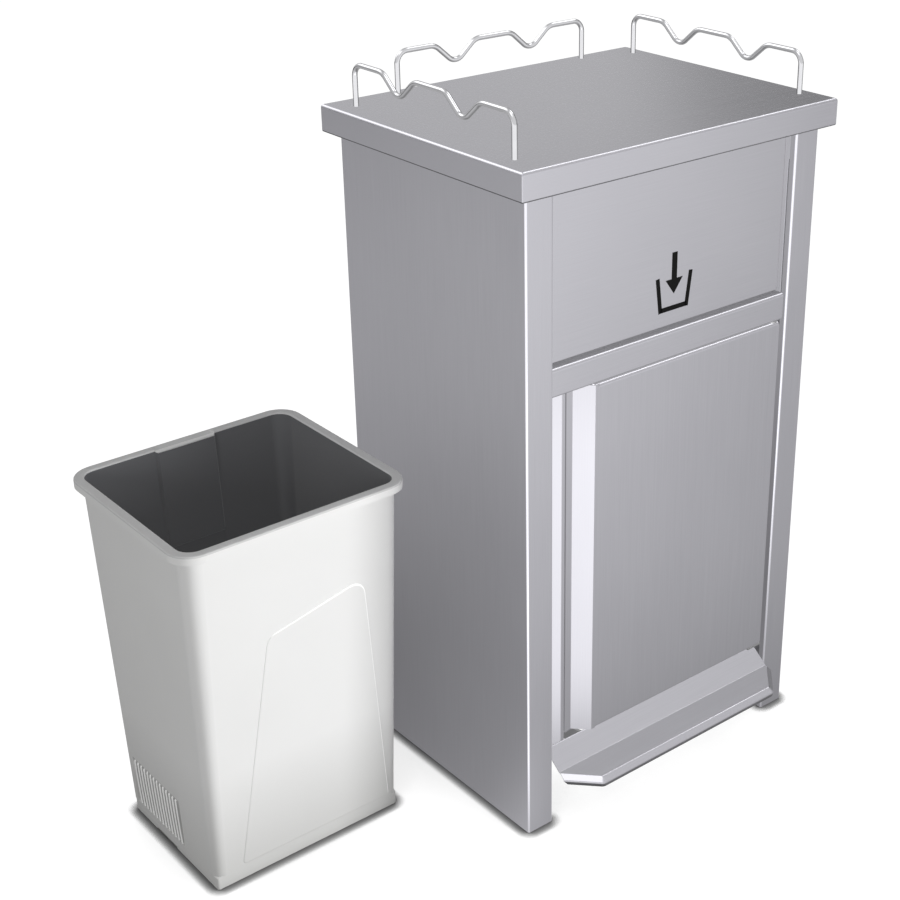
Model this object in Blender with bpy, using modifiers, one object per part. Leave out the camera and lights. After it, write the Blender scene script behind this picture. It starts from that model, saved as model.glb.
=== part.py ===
"""Tray return cabinet of folded sheet steel with a foot pedal, and the loose waste bin that stands beside it.

Metres, +Z up. The cabinet's front faces -Y. The shapes are drawn in the cabinet's own frame, whose origin is
on the floor under the middle of the worktop. One empty then moves the whole set, so that the middle of its
own box is over the origin.
"""
import math

import bmesh
import bpy
from mathutils import Matrix, Vector

# Clearances
SEAT = 0.0003              # between two pieces that touch
RUNNING_GAP = 0.0005       # between a pin and its slot, and between faces that slide past each other

# Worktop and cabinet body
SHEET = 0.0015
BEND = 0.003               # outer radius of a folded edge
WORKTOP_WIDTH = 0.600
WORKTOP_DEPTH = 0.460
WORKTOP_HEIGHT = 1.050
APRON = 0.041
APRON_RETURN = 0.012
OVERHANG_SIDE = 0.019
OVERHANG_FRONT = 0.017
OVERHANG_BACK = 0.019
POST_FLANGE = 0.0474       # front flange of a side panel, seen as a post
RETURN_LIP = 0.0113
BACK_FLANGE = 0.020
FOOT_FLANGE = 0.018        # inward fold that stands on the floor
PANEL_FLANGE = 0.015       # fold that fastens one sheet to another
BACK_FOOT = 0.050
HEADER_HEIGHT = 0.030
HEADER_FLANGE = 0.010

# Cross rail between the flap and the door
RAIL_BOTTOM = 0.7115
RAIL_HEIGHT = 0.0425
RAIL_SETBACK = 0.006
RAIL_LEDGE = 0.030
RAIL_LEDGE_LIP = 0.010
RAIL_FLANGE = 0.040

# Door with a folded grip along its free edge
DOOR_BOTTOM = 0.1265
DOOR_GAP_TOP = 0.0035
DOOR_GAP_SIDE = 0.0025
DOOR_SETBACK = 0.0075
DOOR_DEPTH = 0.020
GRIP_WIDTH = 0.0849        # from the left post to the door's face
GRIP_RUN = 0.0229          # depth of the slanted grip face, which is as wide as it is deep
GRIP_LIP = 0.0115
JAMB_GAP = 0.002
JAMB_LIP = 0.0065
JAMB_RUN = 0.028
JAMB_FOOT = 0.100
DOOR_PIN_INSET = 0.012
DOOR_PIN_DEPTH = 0.006
DOOR_PIN_RADIUS = 0.0025
DOOR_PIN_REACH = 0.011
DOOR_PIN_HEAD = 0.007
PIVOT_PLATE = 0.0025
PIVOT_PLATE_WIDTH = 0.030
CATCH_WIDTH = 0.040
CATCH_DEPTH = 0.014
CATCH_HEIGHT = 0.016
CATCH_INSET = 0.010

# Shelf that the bin stands on inside the cabinet
SHELF_GAP = 0.0075
SHELF_HEM = 0.008
SHELF_BACK_FLANGE = 0.025
SHELF_ANGLE = 0.020

# Flap, which swings in at the bottom
FLAP_SETBACK = 0.018
FLAP_GAP_BOTTOM = 0.0032
FLAP_GAP_SIDE = 0.002
FLAP_DEPTH = 0.012
FLAP_CORNER = 0.004
FLAP_HEAD = 0.007          # height of the flap above its axle
FLAP_AXLE_DROP = 0.045     # axle below the worktop's upper face
FLAP_AXLE_RADIUS = 0.005
FLAP_EAR = 0.009
FLAP_SWING = math.radians(50.0)
BUSH_WALL = 0.003
BUSH_REACH = 0.006
CHEEK_REACH = 0.045        # cheek plate behind the flap's axle
CHEEK_TOP_GAP = 0.008
CHEEK_SLOT = 0.0028
CHEEK_SLOT_TOP = 0.0865    # upper end of the slot below the worktop's upper face

# Pedal and the linkage that opens the flap
PEDAL_SWING = math.radians(12.0)
PEDAL_PIVOT_Z = 0.075
PEDAL_SHEET = 0.002
TREAD_HEIGHT = 0.092
TREAD_REACH = 0.0094       # fold line in front of the posts
TREAD_DEPTH = 0.0487
TREAD_CHAMFER = 0.0445
PEDAL_SIDE_GAP = 0.0056
LIP_OUT = 0.007
LIP_DOWN = 0.006
LIP_RETURN = 0.005
UPPER_RUN = 0.0325
UPPER_RISE = 0.0253
REAR_DROP = 0.024
TUBE_RADIUS = 0.011
STUB_RADIUS = 0.006
BEARING_RADIUS = 0.015
BEARING_LENGTH = 0.012
ARM_THICKNESS = 0.005
ARM_SPACING = 0.300
ARM_HUB = 0.018
ARM_TOP_GAP = 0.004
ARM_TIP_HEIGHT = 0.016
ROD_RADIUS = 0.003
ROD_SETBACK = 0.018
ROD_PIN_RADIUS = 0.0025
ROD_END = 0.006
CRANK_THICKNESS = 0.004
CRANK_LENGTH = 0.100
CRANK_HUB = 0.017
CRANK_EYE = 0.009
FLAP_CRANK_HUB = 0.010
FLAP_CRANK_EYE = 0.008
SLOT_PLAY = 0.0015

# Tray rails of bent rod on the worktop
RAIL_ROD = 0.004
TRAY_RAIL_HEIGHT = 0.0615  # rod centre above the worktop
LEFT_RAIL_INSET = 0.0315   # rod centre inside the worktop's edge
RIGHT_RAIL_INSET = 0.0255
BACK_RAIL_INSET = 0.0215
RAIL_FRONT_INSET = 0.0535  # ends of the side rails inside the worktop's edges
RAIL_BACK_INSET = 0.0455
DIP_SPACING = 0.146
DIP_DEPTH = 0.0265
DIP_TOP = 0.076
DIP_BOTTOM = 0.012
RAIL_CORNER = 0.018
DIP_SHOULDER = 0.026
DIP_FLOOR = 0.016

# Loose waste bin
BIN_HEIGHT = 0.575
BIN_BASE_X = 0.321
BIN_BASE_Y = 0.261
BIN_RIM_X = 0.371
BIN_RIM_Y = 0.337
BIN_WALL = 0.003
BIN_FLOOR = 0.004
BIN_RIM_FLANGE = 0.012
BIN_RIM_LIP = 0.013
BIN_CORNER_BASE = 0.016    # upright corners, which widen with the walls
BIN_CORNER_RIM = 0.026
BIN_PLINTH = 0.022
BIN_PLINTH_STEP = 0.0015
BIN_PLINTH_SLOPE = 0.0015  # height in which the wall steps in to the plinth
BIN_PLINTH_BACK = 0.0065   # how much further the plinth is set in at the back
BIN_PLINTH_CORNER = 0.004
BIN_FLOOR_CORNER = 0.012   # upright corners inside the plinth
BIN_CLEAR = 0.065          # floor gap between the worktop's edge and the bin's rim
BIN_BACKSET = 0.108        # bin's middle behind the cabinet's
EMBOSS_HEIGHT = 0.0018
EMBOSS_LOW = 0.026
EMBOSS_FOOT_LEFT = 0.1165  # sides of the raised panel from the bin's middle, at its foot and its head
EMBOSS_FOOT_RIGHT = 0.143
EMBOSS_HEAD_LEFT = 0.056
EMBOSS_HEAD_RIGHT = 0.105
EMBOSS_LEFT_TOP = 0.400
EMBOSS_RIGHT_TOP = 0.438
EMBOSS_CORNER = 0.022
EMBOSS_FOOT_CORNER = 0.006
RIB_COUNT = 14
RIB_PITCH = 0.0097
RIB_MIDDLE = 0.0357        # middle of the row of ribs behind the bin's middle
RIB_WIDTH = 0.0028
RIB_PROUD = 0.0008         # ribs' heads outside the wall's face
RIB_DRAW = 0.002           # how far the ribs' feet lie further in than their heads
RIB_LOW = 0.0245
RIB_LENGTH = 0.083
SCOOP_DEPTH = 0.006        # hollow behind the ribs, at its foot
SCOOP_EDGE = 0.0085        # hollow beside the outer ribs
SCOOP_STEPS = 5
NOTCH_FRONT = -0.007       # notch under the plinth, from the bin's middle
NOTCH_BACK = 0.055
NOTCH_HEIGHT = 0.003
NOTCH_DEPTH = 0.006
GRASP_WIDTH = 0.092
GRASP_DEPTH = 0.006
GRASP_LENGTH = 0.160
GRASP_DIP = 0.006

# Places that follow from the sizes above
HALF_WIDTH = WORKTOP_WIDTH / 2
HALF_DEPTH = WORKTOP_DEPTH / 2
BODY_X = HALF_WIDTH - OVERHANG_SIDE
BODY_FRONT = OVERHANG_FRONT - HALF_DEPTH
BODY_BACK = HALF_DEPTH - OVERHANG_BACK
BODY_TOP = WORKTOP_HEIGHT - SHEET - SEAT
PANEL_INNER = BODY_X - SHEET
OPENING_X = BODY_X - POST_FLANGE
LIP_END = BODY_FRONT + RETURN_LIP
BACK_Y = BODY_BACK - SHEET - SEAT
RAIL_FRONT = BODY_FRONT + RAIL_SETBACK
RAIL_TOP = RAIL_BOTTOM + RAIL_HEIGHT
DOOR_FRONT = BODY_FRONT + DOOR_SETBACK
DOOR_BACK = DOOR_FRONT + DOOR_DEPTH
DOOR_TOP = RAIL_BOTTOM - DOOR_GAP_TOP
DOOR_RIGHT = OPENING_X - DOOR_GAP_SIDE
DOOR_LEFT = GRIP_WIDTH - OPENING_X
DOOR_AXIS = Vector((DOOR_RIGHT - DOOR_PIN_INSET, DOOR_FRONT + DOOR_PIN_DEPTH, 0.0))
GRIP_BACK = DOOR_FRONT + GRIP_RUN
GRIP_END = DOOR_LEFT - GRIP_RUN - GRIP_LIP
JAMB_END = GRIP_END - JAMB_GAP
JAMB_BACK = GRIP_BACK + JAMB_RUN
SHELF_TOP = DOOR_BOTTOM + SHEET
SHELF_FRONT = DOOR_BACK + SHELF_GAP
FLAP_FRONT = BODY_FRONT + FLAP_SETBACK
FLAP_BOTTOM = RAIL_TOP + FLAP_GAP_BOTTOM
FLAP_X = OPENING_X - FLAP_GAP_SIDE
ROD_Y = BODY_FRONT + ROD_SETBACK
ROD_TRAVEL = 2 * CRANK_LENGTH * math.sin(PEDAL_SWING / 2)
FLAP_PIN_REACH = ROD_TRAVEL / (2 * math.tan(FLAP_SWING / 2))
PEDAL_PIN_REACH = ROD_TRAVEL / (2 * math.tan(PEDAL_SWING / 2))
FLAP_AXIS = Vector((0.0, ROD_Y + FLAP_PIN_REACH, WORKTOP_HEIGHT - FLAP_AXLE_DROP))
PEDAL_AXIS = Vector((0.0, ROD_Y + PEDAL_PIN_REACH, PEDAL_PIVOT_Z))
CRANK_X = -(OPENING_X + SHEET + PANEL_INNER) / 2
ROD_X = CRANK_X + CRANK_THICKNESS / 2 + RUNNING_GAP + ROD_RADIUS
ROD_LOW = PEDAL_AXIS.z + ROD_TRAVEL / 2
ROD_HIGH = FLAP_AXIS.z + ROD_TRAVEL / 2
PEDAL_X = OPENING_X - PEDAL_SIDE_GAP
FOLD_Y = BODY_FRONT - TREAD_REACH
TREAD_FRONT = FOLD_Y - TREAD_DEPTH
UPPER_Y = FOLD_Y + UPPER_RUN
UPPER_Z = TREAD_HEIGHT + UPPER_RISE
TUBE_X = PANEL_INNER - SEAT - BEARING_LENGTH - RUNNING_GAP
LEFT_RAIL_X = LEFT_RAIL_INSET - HALF_WIDTH
RIGHT_RAIL_X = HALF_WIDTH - RIGHT_RAIL_INSET
BACK_RAIL_Y = HALF_DEPTH - BACK_RAIL_INSET
TRAY_RAIL_LENGTH = WORKTOP_DEPTH - RAIL_FRONT_INSET - RAIL_BACK_INSET
SIDE_RAIL_Y = (RAIL_FRONT_INSET - RAIL_BACK_INSET) / 2
BIN_X = -HALF_WIDTH - BIN_CLEAR - BIN_RIM_X / 2

# The set's own box, which puts its middle over the origin
SET_MIN_X = BIN_X - BIN_RIM_X / 2
SET_MIN_Y = TREAD_FRONT - LIP_OUT
SET_MAX_Y = max(BIN_BACKSET + BIN_RIM_Y / 2, HALF_DEPTH)
SET_OFFSET = Vector((-(SET_MIN_X + HALF_WIDTH) / 2, -(SET_MIN_Y + SET_MAX_Y) / 2, 0.0))

for old in list(bpy.data.objects):
    bpy.data.objects.remove(old, do_unlink=True)


def new_collection(name):
    """A collection of that name, linked to the scene."""
    collection = bpy.data.collections.new(name)
    bpy.context.scene.collection.children.link(collection)
    return collection


PARTS = new_collection("tray_return_waste_bin")
CUTTERS = new_collection("cutters")

ROOT = bpy.data.objects.new("set_origin", None)
ROOT.location = SET_OFFSET
PARTS.objects.link(ROOT)


def material(name, colour, roughness, metallic):
    """A Principled material with one plain colour."""
    made = bpy.data.materials.new(name)
    made.use_nodes = True
    shader = made.node_tree.nodes["Principled BSDF"]
    shader.inputs["Base Color"].default_value = (*colour, 1.0)
    shader.inputs["Roughness"].default_value = roughness
    shader.inputs["Metallic"].default_value = metallic
    return made


STEEL = material("brushed_sheet_steel", (0.55, 0.55, 0.57), 0.38, 1.0)
ROD_STEEL = material("bent_rod_steel", (0.60, 0.60, 0.61), 0.22, 1.0)
BRIGHT = material("turned_steel", (0.45, 0.45, 0.46), 0.30, 1.0)
BUSHING = material("bush_plastic", (0.05, 0.05, 0.05), 0.50, 0.0)
PLASTIC = material("bin_plastic", (0.74, 0.74, 0.75), 0.45, 0.0)


def add_object(name, mesh, collection, look=None, origin=None):
    """An object of the mesh under the set's empty, with its origin moved to the given point."""
    obj = bpy.data.objects.new(name, mesh)
    collection.objects.link(obj)
    obj.parent = ROOT
    if look is not None:
        mesh.materials.append(look)
    if origin is not None:
        mesh.transform(Matrix.Translation(-origin))
        obj.location = origin
    return obj


def mesh_from(bm, name, smooth=False):
    """A mesh of the finished bmesh, shaded smooth across shallow edges where asked."""
    mesh = bpy.data.meshes.new(name)
    bm.to_mesh(mesh)
    bm.free()
    if smooth:
        mesh.shade_smooth()
        mesh.set_sharp_from_angle(angle=math.radians(35.0))
    return mesh


def on_axis(axis, u, v, w):
    """The point of plane coordinates u, v at w along the axis: x, y on Z; y, z on X; z, x on Y."""
    if axis == "Z":
        return Vector((u, v, w))
    if axis == "X":
        return Vector((w, u, v))
    return Vector((v, w, u))


def filleted(points, radius, steps=3):
    """The open polyline with an arc at each inner corner, of one radius for all or of one for each."""
    points = [Vector(point) for point in points]
    radii = radius if isinstance(radius, (list, tuple)) else [radius] * (len(points) - 2)
    path = [points[0]]
    for before, corner, after, size in zip(points, points[1:], points[2:], radii):
        back = (before - corner).normalized()
        ahead = (after - corner).normalized()
        half = back.angle(ahead) / 2
        centre = corner + (back + ahead).normalized() * (size / math.sin(half))
        start = corner + back * (size / math.tan(half))
        first = start - centre
        sweep = math.pi - 2 * half
        turn = 1 if back.x * ahead.y - back.y * ahead.x < 0 else -1
        for step in range(steps + 1):
            angle = turn * sweep * step / steps
            cos, sin = math.cos(angle), math.sin(angle)
            path.append(centre + Vector((first.x * cos - first.y * sin, first.x * sin + first.y * cos)))
    path.append(points[-1])
    return path


def folded_sheet(name, path, axis, low, high, thickness=SHEET, bend=BEND, look=STEEL, origin=None):
    """A sheet bent along a path and run from low to high along the axis.

    The path is the outer face, walked with the outside on the right, and the thickness goes to the left.
    """
    bm = bmesh.new()
    line = filleted(path, bend)
    lower = [bm.verts.new(on_axis(axis, point.x, point.y, low)) for point in line]
    upper = [bm.verts.new(on_axis(axis, point.x, point.y, high)) for point in line]
    for index in range(len(line) - 1):
        bm.faces.new((lower[index], lower[index + 1], upper[index + 1], upper[index]))
    obj = add_object(name, mesh_from(bm, name, True), PARTS, look, origin)
    solid = obj.modifiers.new("sheet thickness", "SOLIDIFY")
    solid.thickness = thickness
    solid.offset = -1.0
    solid.use_even_offset = True
    return obj


def prism_mesh(name, outline, axis, low, high):
    """A flat outline run from low to high along the axis."""
    bm = bmesh.new()
    face = bm.faces.new([bm.verts.new(on_axis(axis, point[0], point[1], low)) for point in outline])
    grown = bmesh.ops.extrude_face_region(bm, geom=[face])
    rise = on_axis(axis, 0.0, 0.0, high - low)
    moved = [item for item in grown["geom"] if isinstance(item, bmesh.types.BMVert)]
    bmesh.ops.translate(bm, verts=moved, vec=rise)
    bm.normal_update()
    bmesh.ops.recalc_face_normals(bm, faces=bm.faces)
    return mesh_from(bm, name)


def box_mesh(name, low, high):
    """A box between two corners."""
    bm = bmesh.new()
    bmesh.ops.create_cube(bm, size=1.0)
    low, high = Vector(low), Vector(high)
    bmesh.ops.scale(bm, verts=bm.verts, vec=high - low)
    bmesh.ops.translate(bm, verts=bm.verts, vec=(low + high) / 2)
    return mesh_from(bm, name)


def cylinder_mesh(name, axis, centre, radius, low, high, sides=24):
    """A cylinder along the axis, with its middle line through the plane point centre."""
    bm = bmesh.new()
    bmesh.ops.create_cone(
        bm, cap_ends=True, segments=sides, radius1=radius, radius2=radius, depth=high - low)
    middle = (low + high) / 2
    for vert in bm.verts:
        vert.co = on_axis(axis, centre[0] + vert.co.x, centre[1] + vert.co.y, middle + vert.co.z)
    return mesh_from(bm, name, True)


def change(obj, name, mesh, operation):
    """A Boolean on the object by a tool solid, which is kept out of the render."""
    tool = add_object(name, mesh, CUTTERS)
    tool.hide_render = True
    tool.display_type = "WIRE"
    modifier = obj.modifiers.new(name, "BOOLEAN")
    modifier.operation = operation
    modifier.object = tool
    return tool


def arc(centre, radius, start, end, steps):
    """Points on a circle from one angle to another, both included."""
    return [
        (centre[0] + radius * math.cos(start + (end - start) * step / steps),
         centre[1] + radius * math.sin(start + (end - start) * step / steps))
        for step in range(steps + 1)
    ]


def rounded_ring(axis, centre, half_u, half_v, corner, w, steps=4):
    """A rounded rectangle of points at w along the axis."""
    ring = []
    for quarter, (sign_u, sign_v) in enumerate(((1, 1), (-1, 1), (-1, -1), (1, -1))):
        middle = (centre[0] + sign_u * (half_u - corner), centre[1] + sign_v * (half_v - corner))
        start = quarter * math.pi / 2
        ring += [on_axis(axis, u, v, w) for u, v in arc(middle, corner, start, start + math.pi / 2, steps)]
    return ring


def ring_loft(name, rings, look, origin=None):
    """A closed solid through rings of equal counts, capped on the first and the last ring."""
    bm = bmesh.new()
    rows = [[bm.verts.new(point) for point in ring] for ring in rings]
    count = len(rows[0])
    for row, following in zip(rows, rows[1:]):
        for index in range(count):
            beside = (index + 1) % count
            bm.faces.new((row[index], row[beside], following[beside], following[index]))
    bm.faces.new(rows[0])
    bm.faces.new(rows[-1])
    bm.normal_update()
    bmesh.ops.recalc_face_normals(bm, faces=bm.faces)
    return add_object(name, mesh_from(bm, name, True), PARTS, look, origin)


def mirrored(path):
    """The path on the other side of the cabinet, walked so that its outside stays on the right."""
    return [(-x, y) for x, y in reversed(path)]


def build_worktop():
    """The folded top, a shell with an apron and an inward return along its lower edge."""
    inner = WORKTOP_HEIGHT - SHEET
    hem = WORKTOP_HEIGHT - APRON
    rounding = [math.pi / 2 * step / 3 for step in range(4)]
    profile = [(BEND * (1 - math.sin(a)), WORKTOP_HEIGHT - BEND * (1 - math.cos(a))) for a in rounding]
    profile += [(0.0, hem), (APRON_RETURN, hem), (APRON_RETURN, hem + SHEET)]
    profile += [(SHEET, hem + SHEET), (SHEET, inner)]
    rings = [
        rounded_ring("Z", (0.0, 0.0), HALF_WIDTH - inset, HALF_DEPTH - inset, BEND, z)
        for inset, z in profile
    ]
    ring_loft("worktop", rings, STEEL)


def build_body():
    """Side panels, back, front header and cross rail."""
    side = [
        (BACK_FLANGE - BODY_X, BODY_BACK), (-BODY_X, BODY_BACK), (-BODY_X, BODY_FRONT),
        (-OPENING_X, BODY_FRONT), (-OPENING_X, LIP_END),
    ]
    left = folded_sheet("left_side_panel", side, "Z", 0.0, BODY_TOP)
    right = folded_sheet("right_side_panel", mirrored(side), "Z", 0.0, BODY_TOP)
    foot_front = BODY_FRONT + SHEET + BEND
    foot_back = BODY_BACK - SHEET - BEND
    for panel, sign in ((left, -1), (right, 1)):
        xs = sorted((sign * (BODY_X - SHEET / 2), sign * (BODY_X - FOOT_FLANGE)))
        foot = box_mesh("foot flange", (xs[0], foot_front, 0.0), (xs[1], foot_back, SHEET))
        change(panel, panel.name + " foot", foot, "UNION")

    half = PANEL_INNER - BEND
    back = [
        (BACK_Y - PANEL_FLANGE, BACK_FOOT), (BACK_Y, BACK_FOOT), (BACK_Y, BODY_TOP),
        (BACK_Y - PANEL_FLANGE, BODY_TOP),
    ]
    folded_sheet("back_panel", back, "X", -half, half)

    between = OPENING_X - SEAT
    header_low = BODY_TOP - HEADER_HEIGHT
    header = [
        (RAIL_FRONT + RAIL_LEDGE, BODY_TOP), (RAIL_FRONT, BODY_TOP), (RAIL_FRONT, header_low),
        (RAIL_FRONT + HEADER_FLANGE, header_low),
    ]
    folded_sheet("front_header", header, "X", -between, between)
    rail = [
        (RAIL_FRONT + RAIL_LEDGE, RAIL_TOP - RAIL_LEDGE_LIP), (RAIL_FRONT + RAIL_LEDGE, RAIL_TOP),
        (RAIL_FRONT, RAIL_TOP), (RAIL_FRONT, RAIL_BOTTOM), (RAIL_FRONT + RAIL_FLANGE, RAIL_BOTTOM),
    ]
    folded_sheet("cross_rail", rail, "X", -between, between)


def build_jamb_and_shelf():
    """The fixed strip beside the door's grip, and the shelf on its two angles."""
    wall = SEAT - PANEL_INNER
    flange_end = JAMB_BACK + PANEL_FLANGE
    jamb = [
        (wall, flange_end), (wall, JAMB_BACK), (JAMB_END - JAMB_LIP - JAMB_RUN, JAMB_BACK),
        (JAMB_END - JAMB_LIP, GRIP_BACK), (JAMB_END, GRIP_BACK),
    ]
    folded_sheet("door_jamb", jamb, "Z", JAMB_FOOT, RAIL_BOTTOM - SEAT)

    half = PANEL_INNER - SEAT
    shelf_back = BACK_Y - SHEET - SEAT
    deck = [
        (shelf_back, SHELF_TOP - SHELF_BACK_FLANGE), (shelf_back, SHELF_TOP), (SHELF_FRONT, SHELF_TOP),
        (SHELF_FRONT, SHELF_TOP - SHELF_HEM),
    ]
    shelf = folded_sheet("base_shelf", deck, "X", -half, half)
    clear = 2 * JAMB_GAP
    notch = box_mesh(
        "jamb notch",
        (-HALF_WIDTH, SHELF_FRONT - SHELF_GAP, SHELF_TOP - 2 * SHELF_HEM),
        (JAMB_END + clear, flange_end + clear, SHELF_TOP + SHELF_HEM),
    )
    change(shelf, "shelf notch", notch, "DIFFERENCE")

    top = SHELF_TOP - SHEET - SEAT
    low_y = flange_end + 2 * clear
    high_y = shelf_back - SHEET - 2 * BEND
    angle = [(top - SHELF_ANGLE, -half), (top, -half), (top, SHELF_ANGLE - half)]
    folded_sheet("left_shelf_angle", angle, "Y", low_y, high_y)
    other = [(z, -x) for z, x in reversed(angle)]
    folded_sheet("right_shelf_angle", other, "Y", low_y, high_y)


def build_door():
    """The door with its folded grip, its two pivots and the magnetic catch."""
    path = [
        (GRIP_END, GRIP_BACK), (DOOR_LEFT - GRIP_RUN, GRIP_BACK), (DOOR_LEFT, DOOR_FRONT),
        (DOOR_RIGHT, DOOR_FRONT), (DOOR_RIGHT, DOOR_BACK),
    ]
    door = folded_sheet("door_panel", path, "Z", DOOR_BOTTOM, DOOR_TOP, origin=DOOR_AXIS)
    middle = SHEET / 2
    flange = [
        (DOOR_LEFT + middle, DOOR_FRONT + middle), (DOOR_RIGHT - BEND, DOOR_FRONT + middle),
        (DOOR_RIGHT - middle, DOOR_FRONT + BEND), (DOOR_RIGHT - middle, DOOR_BACK),
        (DOOR_LEFT - DOOR_DEPTH + SHEET, DOOR_BACK),
    ]
    change(door, "door top flange", prism_mesh("door top", flange, "Z", DOOR_TOP - SHEET, DOOR_TOP), "UNION")
    change(
        door, "door bottom flange",
        prism_mesh("door bottom", flange, "Z", DOOR_BOTTOM, DOOR_BOTTOM + SHEET), "UNION")
    hole = DOOR_PIN_RADIUS + SEAT
    for name, low in (("top pin hole", DOOR_TOP - 2 * SHEET), ("bottom pin hole", DOOR_BOTTOM - SHEET)):
        drill = cylinder_mesh(name, "Z", DOOR_AXIS, hole, low, low + 3 * SHEET)
        change(door, name, drill, "DIFFERENCE")

    head_top = RAIL_BOTTOM - SEAT
    head_low = DOOR_TOP + SEAT
    pin = cylinder_mesh("door top pin", "Z", DOOR_AXIS, DOOR_PIN_HEAD, head_low, head_top)
    top_pin = add_object("door_top_pin", pin, PARTS, BRIGHT)
    shank = cylinder_mesh(
        "top shank", "Z", DOOR_AXIS, DOOR_PIN_RADIUS, DOOR_TOP - DOOR_PIN_REACH, head_low + SEAT)
    change(top_pin, "top pin shank", shank, "UNION")

    plate_top = DOOR_BOTTOM - SEAT
    plate = box_mesh(
        "pivot plate",
        (OPENING_X - SEAT - PIVOT_PLATE_WIDTH, DOOR_FRONT + SHEET, plate_top - PIVOT_PLATE),
        (OPENING_X - SEAT, DOOR_BACK, plate_top),
    )
    pivot = add_object("door_bottom_pivot", plate, PARTS, BRIGHT)
    stub = cylinder_mesh(
        "bottom shank", "Z", DOOR_AXIS, DOOR_PIN_RADIUS, plate_top - PIVOT_PLATE / 2,
        DOOR_BOTTOM + DOOR_PIN_REACH)
    change(pivot, "bottom pin shank", stub, "UNION")

    catch_left = DOOR_LEFT + CATCH_INSET
    catch_front = DOOR_BACK + SEAT
    catch = box_mesh(
        "catch body",
        (catch_left, catch_front, RAIL_BOTTOM - SEAT - CATCH_HEIGHT),
        (catch_left + CATCH_WIDTH, catch_front + CATCH_DEPTH, RAIL_BOTTOM - SEAT),
    )
    add_object("door_catch", catch, PARTS, BUSHING)


def build_cheeks():
    """The fixed plates beside the flap, with a slot behind each post and a bush for the flap's axle."""
    back = FLAP_AXIS.y + CHEEK_REACH
    wall = PANEL_INNER - SEAT - SHEET
    left_path = [
        (-OPENING_X, LIP_END + SEAT), (-OPENING_X, back), (-wall, back), (-wall, back + PANEL_FLANGE),
    ]
    top = BODY_TOP - CHEEK_TOP_GAP
    slot_top = WORKTOP_HEIGHT - CHEEK_SLOT_TOP
    bush_radius = FLAP_AXLE_RADIUS + SEAT + BUSH_WALL
    for side, sign, path in (("left", -1, left_path), ("right", 1, mirrored(left_path))):
        cheek = folded_sheet(side + "_flap_cheek", path, "Z", RAIL_BOTTOM, top)
        xs = sorted((sign * (OPENING_X - SHEET), sign * (OPENING_X + 2 * SHEET)))
        slot = box_mesh(
            side + " slot", (xs[0], LIP_END - SHEET, RAIL_BOTTOM - SHEET),
            (xs[1], LIP_END + CHEEK_SLOT, slot_top))
        change(cheek, side + " post slot", slot, "DIFFERENCE")
        bore = cylinder_mesh(side + " bore", "X", FLAP_AXIS.yz, bush_radius + SEAT, xs[0], xs[1])
        change(cheek, side + " bush hole", bore, "DIFFERENCE")
        ends = sorted((sign * (OPENING_X - SEAT), sign * (OPENING_X + SHEET + BUSH_REACH)))
        bush = add_object(
            side + "_flap_bush",
            cylinder_mesh(side + " bush", "X", FLAP_AXIS.yz, bush_radius, ends[0], ends[1]), PARTS, BUSHING)
        hole = cylinder_mesh(
            side + " bush bore", "X", FLAP_AXIS.yz, FLAP_AXLE_RADIUS + SEAT, ends[0] - SHEET, ends[1] + SHEET)
        change(bush, side + " bush bore", hole, "DIFFERENCE")


def build_flap():
    """The flap pan with an ear at each end, and the axle that turns with it."""
    top = FLAP_AXIS.z + FLAP_HEAD
    half_z = (top - FLAP_BOTTOM) / 2
    centre = ((top + FLAP_BOTTOM) / 2, 0.0)
    back = FLAP_FRONT + FLAP_DEPTH
    rounding = [math.pi / 2 * step / 3 for step in range(4)]
    profile = [(BEND * (1 - math.sin(a)), FLAP_FRONT + BEND * (1 - math.cos(a))) for a in rounding]
    profile += [(0.0, back), (SHEET, back), (SHEET, FLAP_FRONT + SHEET)]
    rings = [
        rounded_ring("Y", centre, half_z - inset, FLAP_X - inset, FLAP_CORNER, y) for inset, y in profile
    ]
    flap = ring_loft("flap_panel", rings, STEEL, FLAP_AXIS)
    root = FLAP_FRONT + FLAP_DEPTH / 2
    ear = [(root, FLAP_AXIS.z - 3 * FLAP_EAR)]
    ear += arc(FLAP_AXIS.yz, FLAP_EAR, -math.pi / 4, math.pi / 2 - math.asin(1 - FLAP_HEAD / FLAP_EAR), 8)
    ear += [(root, FLAP_AXIS.z + FLAP_HEAD - 2 * SHEET)]
    for side, sign in (("left", -1), ("right", 1)):
        xs = sorted((sign * (FLAP_X - SHEET / 2), sign * (FLAP_X - 2 * SHEET)))
        change(flap, side + " flap ear", prism_mesh(side + " ear", ear, "X", xs[0], xs[1]), "UNION")
        hole = cylinder_mesh(
            side + " ear hole", "X", FLAP_AXIS.yz, FLAP_AXLE_RADIUS + SEAT, xs[0] - SHEET, xs[1] + SHEET)
        change(flap, side + " flap ear hole", hole, "DIFFERENCE")
    axle = cylinder_mesh(
        "flap axle", "X", FLAP_AXIS.yz, FLAP_AXLE_RADIUS, CRANK_X - CRANK_THICKNESS,
        OPENING_X + SHEET + BUSH_REACH + BUSH_WALL)
    add_object("flap_axle", axle, PARTS, BRIGHT, FLAP_AXIS)


def crank_outline(axis_point, length, rise, hub, eye):
    """A flat lever forward of its axis, turned up by rise, with a round hub and a round eye."""
    taper = math.asin((hub - eye) / length)
    outline = arc((0.0, 0.0), hub, -math.pi / 2 - taper, math.pi / 2 + taper, 12)
    outline += arc((-length, 0.0), eye, math.pi / 2 + taper, 3 * math.pi / 2 - taper, 8)
    cos, sin = math.cos(-rise), math.sin(-rise)
    return [(axis_point[0] + y * cos - z * sin, axis_point[1] + y * sin + z * cos) for y, z in outline]


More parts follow.
